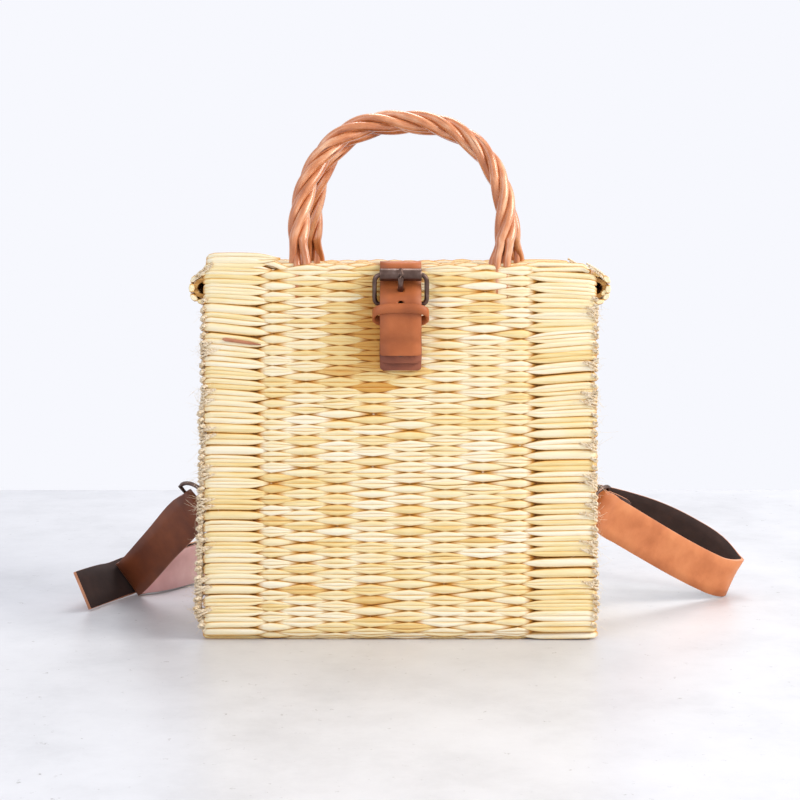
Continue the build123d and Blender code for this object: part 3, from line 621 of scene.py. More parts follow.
def sideCore(side, label):
    # a tube inside the rolled hem and a board inside the weave
    sides = 20
    hole, skin, end = gusset["tubeHole"], gusset["tubeRadius"], gusset["tubeHalf"]
    verts = []
    for radius, y in ((hole, -end), (hole, end), (skin, end), (skin, -end)):
        for c, s in circle(sides):
            x = side * (gusset["hemX"] + radius * c)
            verts.append((x, y, gusset["hemZ"] + radius * s))
    faces = bandFaces(4, sides, True)
    faces += [[v + len(verts) for v in face] for face in bandFaces(2, 4)]
    near, far, half = side * (gusset["inner"] + 1), side * (gusset["coreX"] - 1), gusset["half"]
    for z in (gusset["low"], gusset["hemZ"] - 2):
        verts += [(near, -half, z), (far, -half, z), (far, half, z), (near, half, z)]
    core = solidPiece(f"sideCore{label}", verts, faces, ["core"], smooth=False)
    settle(core, "side_mat_" + label.lower())


def buildSides():
    rows = (2, int((gusset["top"] - 2) / weave["pick"] * 2))
    warpsAt = lambda h: gusset["warps"]
    for label, side, seed in (("Left", -1, 21), ("Right", 1, 22)):
        outer, inner = gusset["coreX"] - gusset["lift"], gusset["inner"] + gusset["lift"]
        place = lambda y, h, out, side=side: ((side * (outer + out), y, h), 0.0)
        inside = lambda y, h, out, side=side: ((side * (inner - out), y, h), 0.0)
        lines = reedLines(warpsAt, gusset["half"], rows, seed, place)
        lines += warpLines(warpsAt, 8, gusset["top"], place, seed)
        panelPiece(f"sideWeave{label}", lines, 6, "reedDeep")
        lines = reedLines(warpsAt, gusset["insideHalf"], rows, seed + 5, inside)
        panelPiece(f"sideWeaveInside{label}", lines, 5, "reedDeep")
        panelPiece(f"hemReeds{label}", hemLines(side, seed + 9), 8, "reedDeep")
        sideCore(side, label)


coreShell()
buildMat()
buildSides()
print("woven mats ready")

# Twisted handles: four rods each, laid round the line of an arch
handles = {
    "rod": 2.8, "tip": 2.3, "lay": 3.85, "turns": 3.0, "power": 2.6, "steps": 150, "sides": 16,
    "footDepth": 20.0, "footSpacing": 2.9, "footStagger": 1.2, "footHeight": 225.2,
    "taperHeight": 15.0, "wallMiddle": 50.6,
    "front": {"left": -60.5, "right": 60.0, "shift": 1.5, "height": 89.0, "lean": 22.0, "y": -1,
              "bulge": (2.6, 6.0), "seed": 7},
    "back": {"left": -56.5, "right": 76.0, "shift": -5.0, "height": 90.0, "lean": 17.0, "y": 1,
             "bulge": (1.0, -1.5), "seed": 99},
}


def archLine(arch):
    middle = (arch["left"] + arch["right"]) / 2
    half = (arch["right"] - arch["left"]) / 2
    power = 2 / handles["power"]
    fine = []
    for k in range(4001):
        angle = math.pi - math.pi * k / 4000
        beside = abs(math.cos(angle)) ** power * (1 if math.cos(angle) > 0 else -1)
        up = abs(math.sin(angle)) ** power
        swell = 4 * up * (1 - up) * (arch["bulge"][1] if beside > 0 else -arch["bulge"][0])
        x = middle + half * beside + arch["shift"] * up + swell
        y = arch["y"] * (handles["wallMiddle"] - arch["lean"] * up)
        fine.append(Vector((x, y, weave["height"] + arch["height"] * up)))
    lengths = [0.0]
    for a, b in zip(fine, fine[1:]):
        lengths.append(lengths[-1] + (b - a).length)
    least = weave["height"] + handles["taperHeight"]
    first = next(i for i, p in enumerate(fine) if p.z > least)
    last = len(fine) - 1 - first
    points, i = [], first
    for k in range(handles["steps"] + 1):
        wanted = lengths[first] + (lengths[last] - lengths[first]) * k / handles["steps"]
        while i < last and lengths[i] < wanted:
            i += 1
        points.append(fine[i])
    return points


def rodAxes(before, after):
    ahead = (after - before).normalized()
    front = (Vector((0, -1, 0)) + ahead * ahead.y).normalized()
    return front, front.cross(ahead)


def strandLines(line):
    steps = handles["steps"]
    strands = []
    for strand in range(4):
        points = []
        for k, point in enumerate(line):
            front, outward = rodAxes(line[max(k - 1, 0)], line[min(k + 1, steps)])
            turn = 2 * math.pi * (handles["turns"] * k / steps + strand / 4 + 0.125)
            lay = handles["lay"] + 0.22 * math.sin(k * 0.11 + strand * 2.1)
            points.append(point + outward * (lay * math.cos(turn)) + front * (lay * math.sin(turn)))
        strands.append(points)
    return strands


def footTail(arch, line, strands, index, end):
    # from a strand's end down into the weave; the four feet stand in a staggered row
    middle, near = line[end], strands[index][end]
    ends = [strand[end] for strand in strands]
    order = sorted(range(4), key=lambda i: (round(ends[i].x - middle.x, 1), ends[i].y))
    seat = order.index(index)
    x = arch["right" if end else "left"] + (seat - 1.5) * handles["footSpacing"]
    y = arch["y"] * (handles["wallMiddle"] + (seat % 2 * 2 - 1) * handles["footStagger"])
    foot = Vector((x, y, handles["footHeight"]))
    rod, tip = handles["rod"], handles["tip"]
    tail = []
    for i in range(1, 9):
        t = i / 9
        point = near.lerp(foot, t)
        point.x = near.x + (foot.x - near.x) * (t * t * (3 - 2 * t))
        tail.append((point, tip + (rod - tip) * max(0.0, 1 - t * 1.7) ** 1.2))
    return tail + [(foot, tip), (foot - Vector((0, 0, handles["footDepth"])), tip)]


def rodPiece(label, arch, index):
    line = archLine(arch)
    strands = strandLines(line)
    path = []
    for i, point in enumerate(strands[index]):
        path.append((point, handles["rod"] * (1 + 0.05 * math.sin(i * 0.13 + index))))
    start, end = [footTail(arch, line, strands, index, which) for which in (0, -1)]
    path = start[::-1] + path + end
    sides = handles["sides"]
    verts, uvs, tones = [], [], []
    travelled = 0.0
    baseTone = random.Random(index * 31 + arch["seed"]).uniform(0.35, 0.65)
    for i, (point, radius) in enumerate(path):
        front, outward = rodAxes(path[max(i - 1, 0)][0], path[min(i + 1, len(path) - 1)][0])
        if i:
            travelled += (point - path[i - 1][0]).length * mm
        for k in range(sides):
            angle = 2 * math.pi * k / sides
            c, s = math.cos(angle), math.sin(angle)
            ridge = 1 + 0.035 * noise.noise(Vector((c * 1.6, s * 1.6, i * 0.05 + index * 9)))
            dent = noise.noise(Vector((angle * 2.2, i * 0.03, index * 5.0))) - 0.25
            size = ridge - 0.05 * max(0.0, dent)
            verts.append(point + (outward * c + front * s) * radius * size)
            uvs.append((k / sides, travelled * 4))
            tones.append(baseTone + 0.25 * noise.noise(Vector((i * 0.02, index * 3.0, 0))))
    name = f"{label}Rod{index + 1}"
    rod = solidPiece(name, verts, bandFaces(len(path), sides), ["wicker"])
    layer = rod.data.uv_layers.new(name="strand")
    for polygon in rod.data.polygons:
        seam = len(polygon.vertices) == 4 and max(uvs[v][0] for v in polygon.vertices) > 0.9
        for loop, v in zip(polygon.loop_indices, polygon.vertices):
            u = uvs[v][0] + (1.0 if seam and uvs[v][0] < 0.2 else 0.0)
            layer.data[loop].uv = (u, uvs[v][1])
    rod.data.attributes.new("tone", "FLOAT", "POINT").data.foreach_set("value", tones)
    settle(rod, f"{label}_handle_rod_{index + 1}")


for label in ("front", "back"):
    for index in range(4):
        rodPiece(label, handles[label], index)
print("handles ready")

# Leather
leather = {"thickness": 2.3, "tabThickness": 1.8, "closureWidth": 24.8, "shoulderWidth": 26.0,
           "tabWidth": 9.0, "fold": 3.1}
# a strap's section in shares of its width and thickness, and which look each side of it has
strapFlat = (-0.455, -0.25, -0.11, 0.11, 0.25, 0.455)
strapBack = [(-0.5, -0.22), (-0.485, -0.42), *((a, -0.5) for a in strapFlat), (0.485, -0.42),
             (0.5, -0.22)]
strapSection = strapBack + [(-a, -b) for a, b in strapBack]
strapKinds = [2] * 2 + [1] * 5 + [2] * 5 + [0] * 5 + [2] * 3


def smoothStations(stations, steps):
    result = []
    last = len(stations) - 1
    for k in range(last):
        four = [stations[max(0, min(last, k + d))] for d in (-1, 0, 1, 2)]
        before, own, after = [max(1e-3, (b[0] - a[0]).length) for a, b in zip(four, four[1:])]
        for s in range(steps):
            t = s / steps
            h = (2 * t ** 3 - 3 * t ** 2 + 1, t ** 3 - 2 * t ** 2 + t,
                 3 * t ** 2 - 2 * t ** 3, t ** 3 - t ** 2)
            values = []
            for a, b, c, d in zip(*four):
                plain = (c - b) * (2 / own)
                start = (b - a) / before + (c - b) / own if k > 0 else plain
                end = (c - b) / own + (d - c) / after if k + 1 < last else plain
                into, out = start * (0.5 * own), end * (0.5 * own)
                values.append(b * h[0] + into * h[1] + c * h[2] + out * h[3])
            result.append(tuple(values))
    return result + [stations[-1]]


# by default a strap's back is the suede painted dark as shade
def strapPiece(name, node, stations, steps, grainSide=1, looks=("grain", "shadedSuede", "edge"),
               thickness=leather["thickness"]):
    # a strap through (centre, across, width) stations; its edges are slightly rounded
    path = smoothStations(stations, steps)
    count = len(strapSection)
    verts = []
    for i, (centre, across, width) in enumerate(path):
        ahead = (path[min(i + 1, len(path) - 1)][0] - path[max(i - 1, 0)][0]).normalized()
        side = (across - ahead * across.dot(ahead)).normalized()
        face = ahead.cross(side).normalized()
        for a, b in strapSection:
            beside = a * width
            if abs(a) > 0.4:
                beside = math.copysign(width / 2 - (0.5 - abs(a)) * thickness * 1.6, a)
            verts.append(centre + side * beside + face * (b * thickness * grainSide))
    kinds = strapKinds * (len(path) - 1) + [2, 2]
    strap = solidPiece(name, verts, bandFaces(len(path), count), looks, kinds)
    return settle(strap, node)


def cutThrough(piece, point, normal, radius, length, stretch=1.0, across=None):
    # punches a round or a long hole
    sides = 20
    normal = normal.normalized()
    across = across or normal.orthogonal().normalized()
    other = normal.cross(across).normalized()
    verts = []
    for end in (-0.5, 0.5):
        for c, s in circle(sides):
            offset = across * (radius * c) + other * (radius * stretch * s)
            verts.append(point + offset + normal * (length * end))
    punch = solidPiece("punch", verts, bandFaces(2, sides), ["edge"], smooth=False)
    modifier = piece.modifiers.new("punch", "BOOLEAN")
    modifier.object = punch
    modifier.operation = "DIFFERENCE"
    modifier.solver = "EXACT"
    applyNow(piece, modifier)
    bpy.data.objects.remove(punch)


class BuckleAxes:
    def __init__(self, heel, ahead, lift):
        self.heel, self.ahead, self.lift = Vector(heel), Vector(ahead), Vector(lift)
        self.across = self.lift.cross(self.ahead)

    def at(self, length, lift, across=0.0):
        return self.heel + self.ahead * length + self.lift * lift + self.across * across


closure = BuckleAxes((0.4, -59.45, 202.0), (0, 0, 1), (0, -1, 0))
adjuster = BuckleAxes((-67.0, 134.0, 41.0), (1, 0, 0), (0, 1, 0))
# how high the leather lies over the heel bar's middle: folded leg, over it, and below it
legLift = leather["thickness"] + 0.2 - leather["fold"]
overLift = leather["fold"] + leather["thickness"] + 0.5
lowerLift = legLift + leather["thickness"] + 1.25
frontLeg = [(-14, 3.1), (-21, legLift), (-32, legLift), (-34, legLift, 0.97), (-35, legLift, 0.86)]
# the slot in the folded leg for a tongue: half width, length along the strap and stretch
slot = (2.2, 9.6, 3.4)


def arcAround(centre, first, second, radius, start, end, steps):
    points = []
    for k in range(steps + 1):
        a = math.radians(start + (end - start) * k / steps)
        points.append(centre + first * (radius * math.cos(a)) + second * (radius * math.sin(a)))
    return points


def buckleStations(axes, points, width):
    return [(axes.at(u, w), axes.across, width * (f[0] if f else 1.0)) for u, w, *f in points]


def foldStations(axes, width, backLeg):
    bend = arcAround(axes.heel, axes.ahead, axes.lift, leather["fold"], -90, 90, 4)
    return (
        buckleStations(axes, backLeg, width) + [(p, axes.across, width) for p in bend]
        + buckleStations(axes, frontLeg, width)
    )


def closureStraps():
    width = leather["closureWidth"]
    backLeg = [(-39.5, -3.1, 0.86), (-38.7, -3.1, 0.96), (-36, -3.1), (-14, -3.1)]
    # partly painted shade: the base strap is one dark leather throughout, with its grain shaded and
    # its edges burnished
    looks = ("umberShade", "umberShade", "umberShade")
    stations = foldStations(closure, width, backLeg)
    base = strapPiece("closureBaseStrap", "closure_base_strap", stations, 4, -1, looks)
    cutThrough(base, closure.at(0, 0), closure.ahead, *slot, closure.across)
    # from inside the back panel over the opening to the front: y, z, share of the width
    path = [
        (46.25, 184, 0.9), (46.25, 187, 1), (46.25, 205, 1), (45.8, 212, 1), (43.4, 218.0, 1),
        (38, 220.8, 1), (18, 220.0, 1), (-6, 219.8, 1), (-28, 221.8, 1), (-40, 224.8, 1),
        (-47.5, 226.5, 1), (-53.2, 226.5, 1), (-56.0, 225.6, 1), (-56.5, 222.5, 1),
    ]
    # then down through the buckle and over its own heel
    hanging = [
        (17, -3.1), (14.6, -3.05), (12.2, -1.9), (9.4, 0.3), (6.6, 2.6), (3.8, 4.6), (1.0, 5.6),
        (-2, overLift), (-8, overLift), (-12, overLift - 0.1), (-17, overLift - 0.9),
        (-22, lowerLift), (-26, lowerLift), (-28.4, lowerLift), (-29.6, lowerLift, 0.97),
        (-30.2, lowerLift, 0.9),
    ]
    stations = [(Vector((0.4, y, z)), Vector((-1, 0, 0)), width * f) for y, z, f in path]
    stations += buckleStations(closure, hanging, width)
    # the strap's back is the same dark leather, partly painted shade
    looks = ("saddle", "umberShade", "edge")
    strap = strapPiece("closureStrap", "closure_strap", stations, 4, -1, looks)
    slant = closure.at(1, 0.8) - closure.heel
    cutThrough(strap, closure.at(8.6, 1.0), slant, 1.75, 5.4, 1.2, closure.across)
    cutThrough(strap, closure.at(1.1, overLift), closure.lift, 1.6, 5)


keeper = {"front": (-1.5, overLift + 3.05), "back": (-10.6, 0.0), "beside": 3.7, "wide": 5.7,
          "thick": 1.6, "sides": 40}
keeperSection = [(-0.5, 0.25), (-0.47, 0.5), (0.47, 0.5), (0.5, 0.25)]
keeperSection += [(-a, -b) for a, b in keeperSection]


def keeperPiece(name, node, axes, width):
    # an oval loop of leather; its back lies between the folded legs, lower than its front
    (foreU, foreW), (backU, backW) = keeper["front"], keeper["back"]
    half = width / 2 + keeper["beside"]
    slope = (foreU - backU) / (foreW - backW)
    middle, rise = (foreW + backW) / 2, (foreW - backW) / 2
    outline = []
    for c, s in circle(keeper["sides"]):
        up = rise * abs(c) ** 0.8 * math.copysign(1, c)
        outline.append((middle + up, half * abs(s) ** 0.66 * math.copysign(1, s)))
    verts = []
    for i, (w, v) in enumerate(outline):
        before, after = outline[i - 1], outline[(i + 1) % len(outline)]
        tangent = Vector((after[0] - before[0], after[1] - before[1])).normalized()
        for a, b in keeperSection:
            lift = w + tangent.y * b * keeper["thick"]
            beside = v - tangent.x * b * keeper["thick"]
            verts.append(axes.at(backU + (w - backW) * slope + a * keeper["wide"], lift, beside))
    faces = bandFaces(len(outline), len(keeperSection), True)
    settle(solidPiece(name, verts, faces, ["saddle"]), node)


def wirePiece(name, node, points, sizes, closed=False):
    if not isinstance(sizes, list):
        sizes = [sizes] * len(points)
    line = [(point, size, 0.5, 1.0) for point, size in zip(points, sizes)]
    tubePiece(name, [line], 14, "bronze", node, closed)


def roundedLoop(points, radius, steps):
    # rounds the corners of a closed outline
    result = []
    for k, point in enumerate(points):
        before, after = points[k - 1], points[(k + 1) % len(points)]
        into, out = (before - point).normalized(), (after - point).normalized()
        reach = min(radius, (before - point).length * 0.49, (after - point).length * 0.49)
        for s in range(steps + 1):
            t = s / steps
            a, b = point + into * reach, point + out * reach
            result.append(a.lerp(point, t).lerp(point.lerp(b, t), t))
    return result


buckle = {
    "bar": (18.0, 1.95), "half": 15.6, "wire": 1.45, "corner": 4.6, "heelRadius": 2.85,
    "tongue": ((4.5, -0.7), (7.93, 1.6), (10.6, 4.3), (13.2, 6.5), (16.0, 7.4), (18.5, 7.6),
               (20.8, 7.2), (21.8, 6.8)),
    "tongueRoot": 1.2, "tongueSizes": [1.4, 1.65, 1.7, 1.65, 1.55, 1.3, 0.8],
    # half of the roller's profile and how deep the seam in its sheet is
    "roller": ((-12.6, 1.55), (-12.6, 3.3), (-12.3, 3.65), (-11.8, 3.75)), "seam": 0.22,
}


def buckleSet(axes, prefix, node, width):
    half = buckle["half"]
    heel, bar = (0, 0), buckle["bar"]
    ends = ((heel, -half), (heel, half), (bar, half), (bar, -half))
    corners = [axes.at(*spot, across) for spot, across in ends]
    loop = roundedLoop(corners, buckle["corner"], 6)
    wirePiece(prefix + "BuckleFrame", node + "_buckle_frame", loop, buckle["wire"], True)
    path = arcAround(axes.heel, axes.ahead, axes.lift, buckle["heelRadius"], 40, 288, 14)
    path += [axes.at(*spot) for spot in buckle["tongue"]]
    root = len(path) - len(buckle["tongueSizes"])
    sizes = [buckle["tongueRoot"]] * root + buckle["tongueSizes"]
    wirePiece(prefix + "Tongue", node + "_tongue", path, sizes)
    keeperPiece(prefix + "Keeper", node + "_keeper", axes, width)


def rollerPiece(name, node, axes):
    # a tube rolled from sheet: its edges are eased and its seam shows when it turns
    sides = 40
    profile = [*buckle["roller"], *((-v, r) for v, r in reversed(buckle["roller"]))]
    axle = axes.at(*buckle["bar"])
    verts = []
    for k, (c, s) in enumerate(circle(sides)):
        for v, r in profile:
            size = r - buckle["seam"] * (k == 0 and r > 2)
            spot = axes.ahead * (size * c) + axes.lift * (size * s)
            verts.append(axle + spot + axes.across * v)
    faces = bandFaces(sides, len(profile), True)
    settle(solidPiece(name, verts, faces, ["bronze"]), node, node)


rollerPiece("closureRoller", "closure_roller", closure)
rollerPiece("strapRoller", "strap_roller", adjuster)
closureStraps()
buckleSet(closure, "closure", "closure", leather["closureWidth"])
buckleSet(adjuster, "strap", "strap", leather["shoulderWidth"])
print("closure ready")

# Rings, tabs and the shoulder strap
rings = {
    "Left": {"middle": (-129.9, 5.0, 70.9), "bar": (-0.653, 0.176, 0.737), "radius": 16.0,
             "pull": (-0.53, 0.58, -0.61), "bow": (0.45, -0.692, 0.564), "side": -1},
    "Right": {"middle": (126.0, 0.2, 71.9), "bar": (0.48, 0.048, 0.876), "radius": 13.0,
              "pull": (0.70, 0.46, -0.546), "bow": (-0.489, -0.814, 0.313), "side": 1},
}
ringWire, ringClear = 1.3, 117.1
# a ring tab's two legs: along the tab, off its middle, share of the width
tabFront = ((23.5, -3.0, 0.85), (21, -3.0, 1), (4, -3.0, 1))
tabBack = ((3, 3.0, 1), (9, -1.0, 1), (20, -1.0, 1), (22, -1.0, 0.85))
tabFold = 3.15


def setRing(ring):
    # the bow's nearest point lies close to the gusset, where the tab holds it
    bar, bow = Vector(ring["bar"]).normalized(), Vector(ring["bow"])
    bow = (bow - bar * bow.dot(bar)).normalized()
    ring["bar"], ring["bow"], ring["pull"] = bar, bow, Vector(ring["pull"]).normalized()
    reach = math.hypot(bar.x, bow.x)
    x = ring["side"] * (ringClear + ring["radius"] * reach)
    ring["middle"] = Vector((x, *ring["middle"][1:]))
    nearest = (bar * bar.x + bow * bow.x) * (-ring["side"] / reach)
    ring["hold"] = ring["middle"] + nearest * ring["radius"]
    hinge = (bow * nearest.dot(bar) - bar * nearest.dot(bow)).normalized()
    ring["hinge"] = hinge if hinge.z > 0 else -hinge
    ring["tab"] = Vector((0, -ring["hinge"].z, ring["hinge"].y))


def ringPieces(label, ring):
    bend = arcAround(ring["middle"], ring["bar"], ring["bow"], ring["radius"], 0, 180, 18)
    node = "ring_" + label.lower()
    wirePiece("ring" + label, node, [ring["middle"]] + bend, ringWire, True)
    out = Vector((ring["side"], 0, 0))
    width = leather["tabWidth"]

    def leg(points):
        spots = [(ring["hold"] + ring["tab"] * reach + out * lift, f) for reach, lift, f in points]
        return [(spot, ring["hinge"], width * f) for spot, f in spots]

    fold = arcAround(ring["hold"], -ring["tab"], out, tabFold, -90, 90, 4)
    stations = leg(tabFront) + [(p, ring["hinge"], width) for p in fold] + leg(tabBack)
    node = "ring_tab_" + label.lower()
    strapPiece("ringTab" + label, node, stations, 3, thickness=leather["tabThickness"])


def ringFold(ring, width, turn=1):
    # a strap's flap, its fold round the ring's bar and the start of the strap itself
    face = ring["pull"].cross(ring["bar"]).normalized() * turn
    flap, curve, shut = 22, 2.95, 1.25

    def station(reach, lift, factor=1.0):
        spot = ring["middle"] + ring["pull"] * reach + face * lift
        return (spot, ring["bar"], width * factor)

    bend = arcAround(ring["middle"], -ring["pull"], face, curve, 90, -90, 4)
    return [
        station(flap, shut, 0.9), station(flap - 1.5, shut), station(12, shut),
        station(3, curve, 0.86), *((p, ring["bar"], width * 0.8) for p in bend),
        station(3, -curve, 0.86), station(12, -shut),
    ]


def middleStations(points, width):
    return [(Vector(p), Vector(across).normalized(), width) for p, across in points]


def edgeStations(points, width):
    # these are given by the strap's lower edge
    stations = middleStations(points, width)
    return [(p + across * (width / 2), across, width) for p, across, width in stations]


up = (0, 0, 1)
floor = 1.3
# each length's stations as (point, direction across), from its ring on; edge means lower edge
shortRun = {
    "pulled": (50, 94),
    "edge": (
        ((-174.6, 62.6, floor), (-0.60, 0.27, 0.75)), ((-172.6, 65.0, floor), (-0.42, 0.30, 0.85)),
        ((-169.0, 67.2, floor), (-0.22, 0.22, 0.95)), ((-164.2, 70.2, floor), (-0.06, 0.08, 0.99)),
        ((-157.0, 77.5, floor), up), ((-142.9, 98.3, floor), up),
    ),
    "behind": (((-130, 112.5, 17.5), up), ((-115, 123, 24), up), ((-103, 128.5, 30.5), up)),
    "backLeg": [(-26, -4.3), (-14, -3.1)],
}
longRun = {
    # these lie as the ring's bar does
    "pulled": ((133.8, 6.2, 63.6), (143.5, 12.5, 57.0), (161.2, 24.0, 45.2), (180.7, 36.0, 32.6),
               (200.5, 47.5, 20.9), (212.5, 54.2, 14.9)),
    "bend": (
        ((220.4, 60.0, 13.0), (0.47, 0.06, 0.88)), ((223.9, 66.5, 13.4), (0.47, 0.08, 0.87)),
        ((221.4, 73.5, 15.8), (0.46, 0.08, 0.88)), ((212.0, 82.0, 26.5), (0.44, 0.06, 0.89)),
        ((197.0, 89.5, 35.6), (0.42, 0.05, 0.9)), ((182.5, 95.5, 42.4), (0.41, 0.04, 0.9)),
        ((167.5, 100.5, 47.6), (0.38, 0.04, 0.92)), ((136.8, 110.0, 54.4), (0.30, 0.03, 0.95)),
        ((98, 126, 57.5), (0.18, 0.01, 0.98)), ((60, 136.5, 58.5), (0.08, 0, 1)),
        ((20, 139.5, 54), up), ((-14, 137, 47.5), up), ((-34, 133, 43), up),
    ),
    # through the buckle: along it and off its heel bar
    "buckled": ((22, -3.1), (17, -3.1), (13.5, -2.9), (8.0, 1.5), (3.2, 5.5), (-1, overLift),
                (-8, overLift), (-14, overLift), (-24, overLift - 0.8)),
    "behind": (((-106.5, 136.2, 29.5), up), ((-119.5, 129, 22.5), up), ((-134, 117, 16.5), up)),
    "edge": (
        ((-148.0, 101.8, floor), up), ((-160.5, 83.0, floor), (-0.03, 0.03, 1)),
        ((-168.8, 75.0, floor), (-0.15, 0.22, 0.97)), ((-176.0, 70.0, floor), (-0.42, 0.32, 0.85)),
        ((-181.0, 61.5, floor), (-0.60, 0.25, 0.76)), ((-188.0, 47.0, floor), (-0.50, 0.28, 0.82)),
        ((-199.0, 23.0, floor), (-0.35, 0.32, 0.88)), ((-201.0, 19.0, 1.2), (-0.35, 0.32, 0.88)),
    ),
}


def shoulderStraps():
    width = leather["shoulderWidth"]
    left, right = rings["Left"], rings["Right"]
    stations = ringFold(left, width)
    pulled = [left["middle"] + left["pull"] * reach for reach in shortRun["pulled"]]
    stations += [(p, left["bar"], width) for p in pulled]
    stations += edgeStations(shortRun["edge"], width) + middleStations(shortRun["behind"], width)
    across = adjuster.across if adjuster.across.z > 0 else -adjuster.across
    folded = foldStations(adjuster, width, shortRun["backLeg"])
    stations += [(p, across, w) for p, _, w in folded]
    # painted light: the short strap's grain is the tan painted darker as shade, and its suede back
    # is the suede painted pale as lit
    looks = ("shadedGrain", "litSuede", "edge")
    piece = strapPiece("shortStrap", "short_strap", stations, 5, -1, looks)
    cutThrough(piece, adjuster.at(0, 0), adjuster.ahead, *slot, adjuster.across)
    stations = ringFold(right, width, -1)[:-1]
    stations += [(Vector(p), right["bar"], width) for p in longRun["pulled"]]
    stations += middleStations(longRun["bend"], width)
    stations += [(adjuster.at(u, w), Vector(up), width) for u, w in longRun["buckled"]]
    stations += middleStations(longRun["behind"], width) + edgeStations(longRun["edge"], width)
    # painted shade: the long strap's suede back is the dark, shaded copy of the suede
    looks = ("grain", "shadedSuede", "rawEdge")
    piece = strapPiece("longStrap", "long_strap", stations, 5, looks=looks)
    slant = adjuster.at(1, 0.8) - adjuster.heel
    cutThrough(piece, adjuster.at(7.9, 1.5), slant, 2.2, 4.6, 1.35, adjuster.across)
    for reach in (1.1, -7.3):
        cutThrough(piece, adjuster.at(reach, overLift), adjuster.lift, 1.9, 5)


for label, ring in rings.items():
    setRing(ring)
    ringPieces(label, ring)
shoulderStraps()
print("straps ready")

# Jute seams: where each corner lies by height, and at which heights it is tied
seams = {
    "Left": {
        "edge": ((0, 119.5), (6, 120), (18, 124.3), (30, 123.6), (48, 122.8), (108, 121.2),
                 (120, 120.4), (136, 121.8), (148, 119.4), (165, 120.2), (200, 119.6), (226, 118)),
        "ties": (14, 31, 55, 78, 97, 120, 145, 172), "side": -1,
    },
    "Right": {
        "edge": ((0, 116.5), (20, 119.6), (50, 118.9), (100, 118.4), (150, 118.6), (190, 119.2),
                 (226, 118.6)),
        "ties": (31, 52, 76, 94, 113, 141, 163, 196), "side": 1,
    },
}
jute = {
    # radii of each kind of twine and of a loose fibre
    "spine": 1.4, "wrap": 0.78, "tie": 0.48, "hem": 0.5, "hair": 0.06, "hairTip": 0.03,
    "spineIn": 2.8, "spineY": 50.8, "low": 9.0, "high": 205, "tieNear": 4.5, "tieStrands": 3,
    "strandRise": 2.3, "tieReach": (4.5, 9.5), "wrapReach": (0.8, 2.4), "next": (3.6, 5.8),
    "tieHairs": 11, "wrapHairs": 3, "wrapTwist": 1.7, "hemTwist": 2.0, "plyStep": 0.9,
    "plyOff": 0.85, "secondTurn": 1.7,
}
# the ties over the rolled hem's end: x, y, height and how far a second turn shifts x and height
hemTies = ((112.0, 55.2, 226.5, 0.6, 1), (115.8, 55.2, 224.2, 0.4, 1),
           (119.6, 54.4, 221.8, 0.3, 1.4), (122.6, 51.5, 219.4, 0.3, 1.6),
           (124.6, 47.5, 216.4, 0.2, 1.8), (124.8, 43.0, 211.0, 0, 1))


def twine(rng, points, thickness, twist=1.35):
    # two plies laid round each other along a line
    dense = []
    for a, b in zip(points, points[1:]):
        steps = max(2, int((b - a).length / jute["plyStep"]))
        dense += [a.lerp(b, s / steps) for s in range(steps)]
    dense.append(points[-1])
    travelled = 0.0
    plies = [[], []]
    for i, p in enumerate(dense):
        ahead = (dense[min(i + 1, len(dense) - 1)] - dense[max(i - 1, 0)]).normalized()
        one = ahead.orthogonal().normalized()
        two = ahead.cross(one)
        if i:
            travelled += (p - dense[i - 1]).length
        for which, ply in enumerate(plies):
            angle = travelled * twist + math.pi * which
            off = thickness * jute["plyOff"]
            spot = p + (one * math.cos(angle) + two * math.sin(angle)) * off
            ply.append((spot, thickness, rng.uniform(0.3, 0.9), 1.0))
    return plies


def hairLine(rng, path, face):
    start = path[rng.randrange(0, 4)]
    start = start + Vector((
        rng.uniform(-2, 2), face * rng.uniform(-0.2, 0.8), rng.uniform(-1.5, 1.5)
    ))
    turn = Vector((rng.gauss(0, 1), face * abs(rng.gauss(0, 0.4)), rng.gauss(0, 1))).normalized()
    curl = Vector((rng.gauss(0, 0.7), face * rng.uniform(0, 0.3), rng.gauss(0, 0.7)))
    size = rng.uniform(1.8, 5.0)
    line = []
    for t in (0, 0.33, 0.66, 1.0):
        spot = start + turn * (size * t) + curl * (size * t * t)
        width = jute["hair"] if t < 0.9 else jute["hairTip"]
        line.append((spot, width, rng.uniform(0.6, 1), 1.0))
    return line


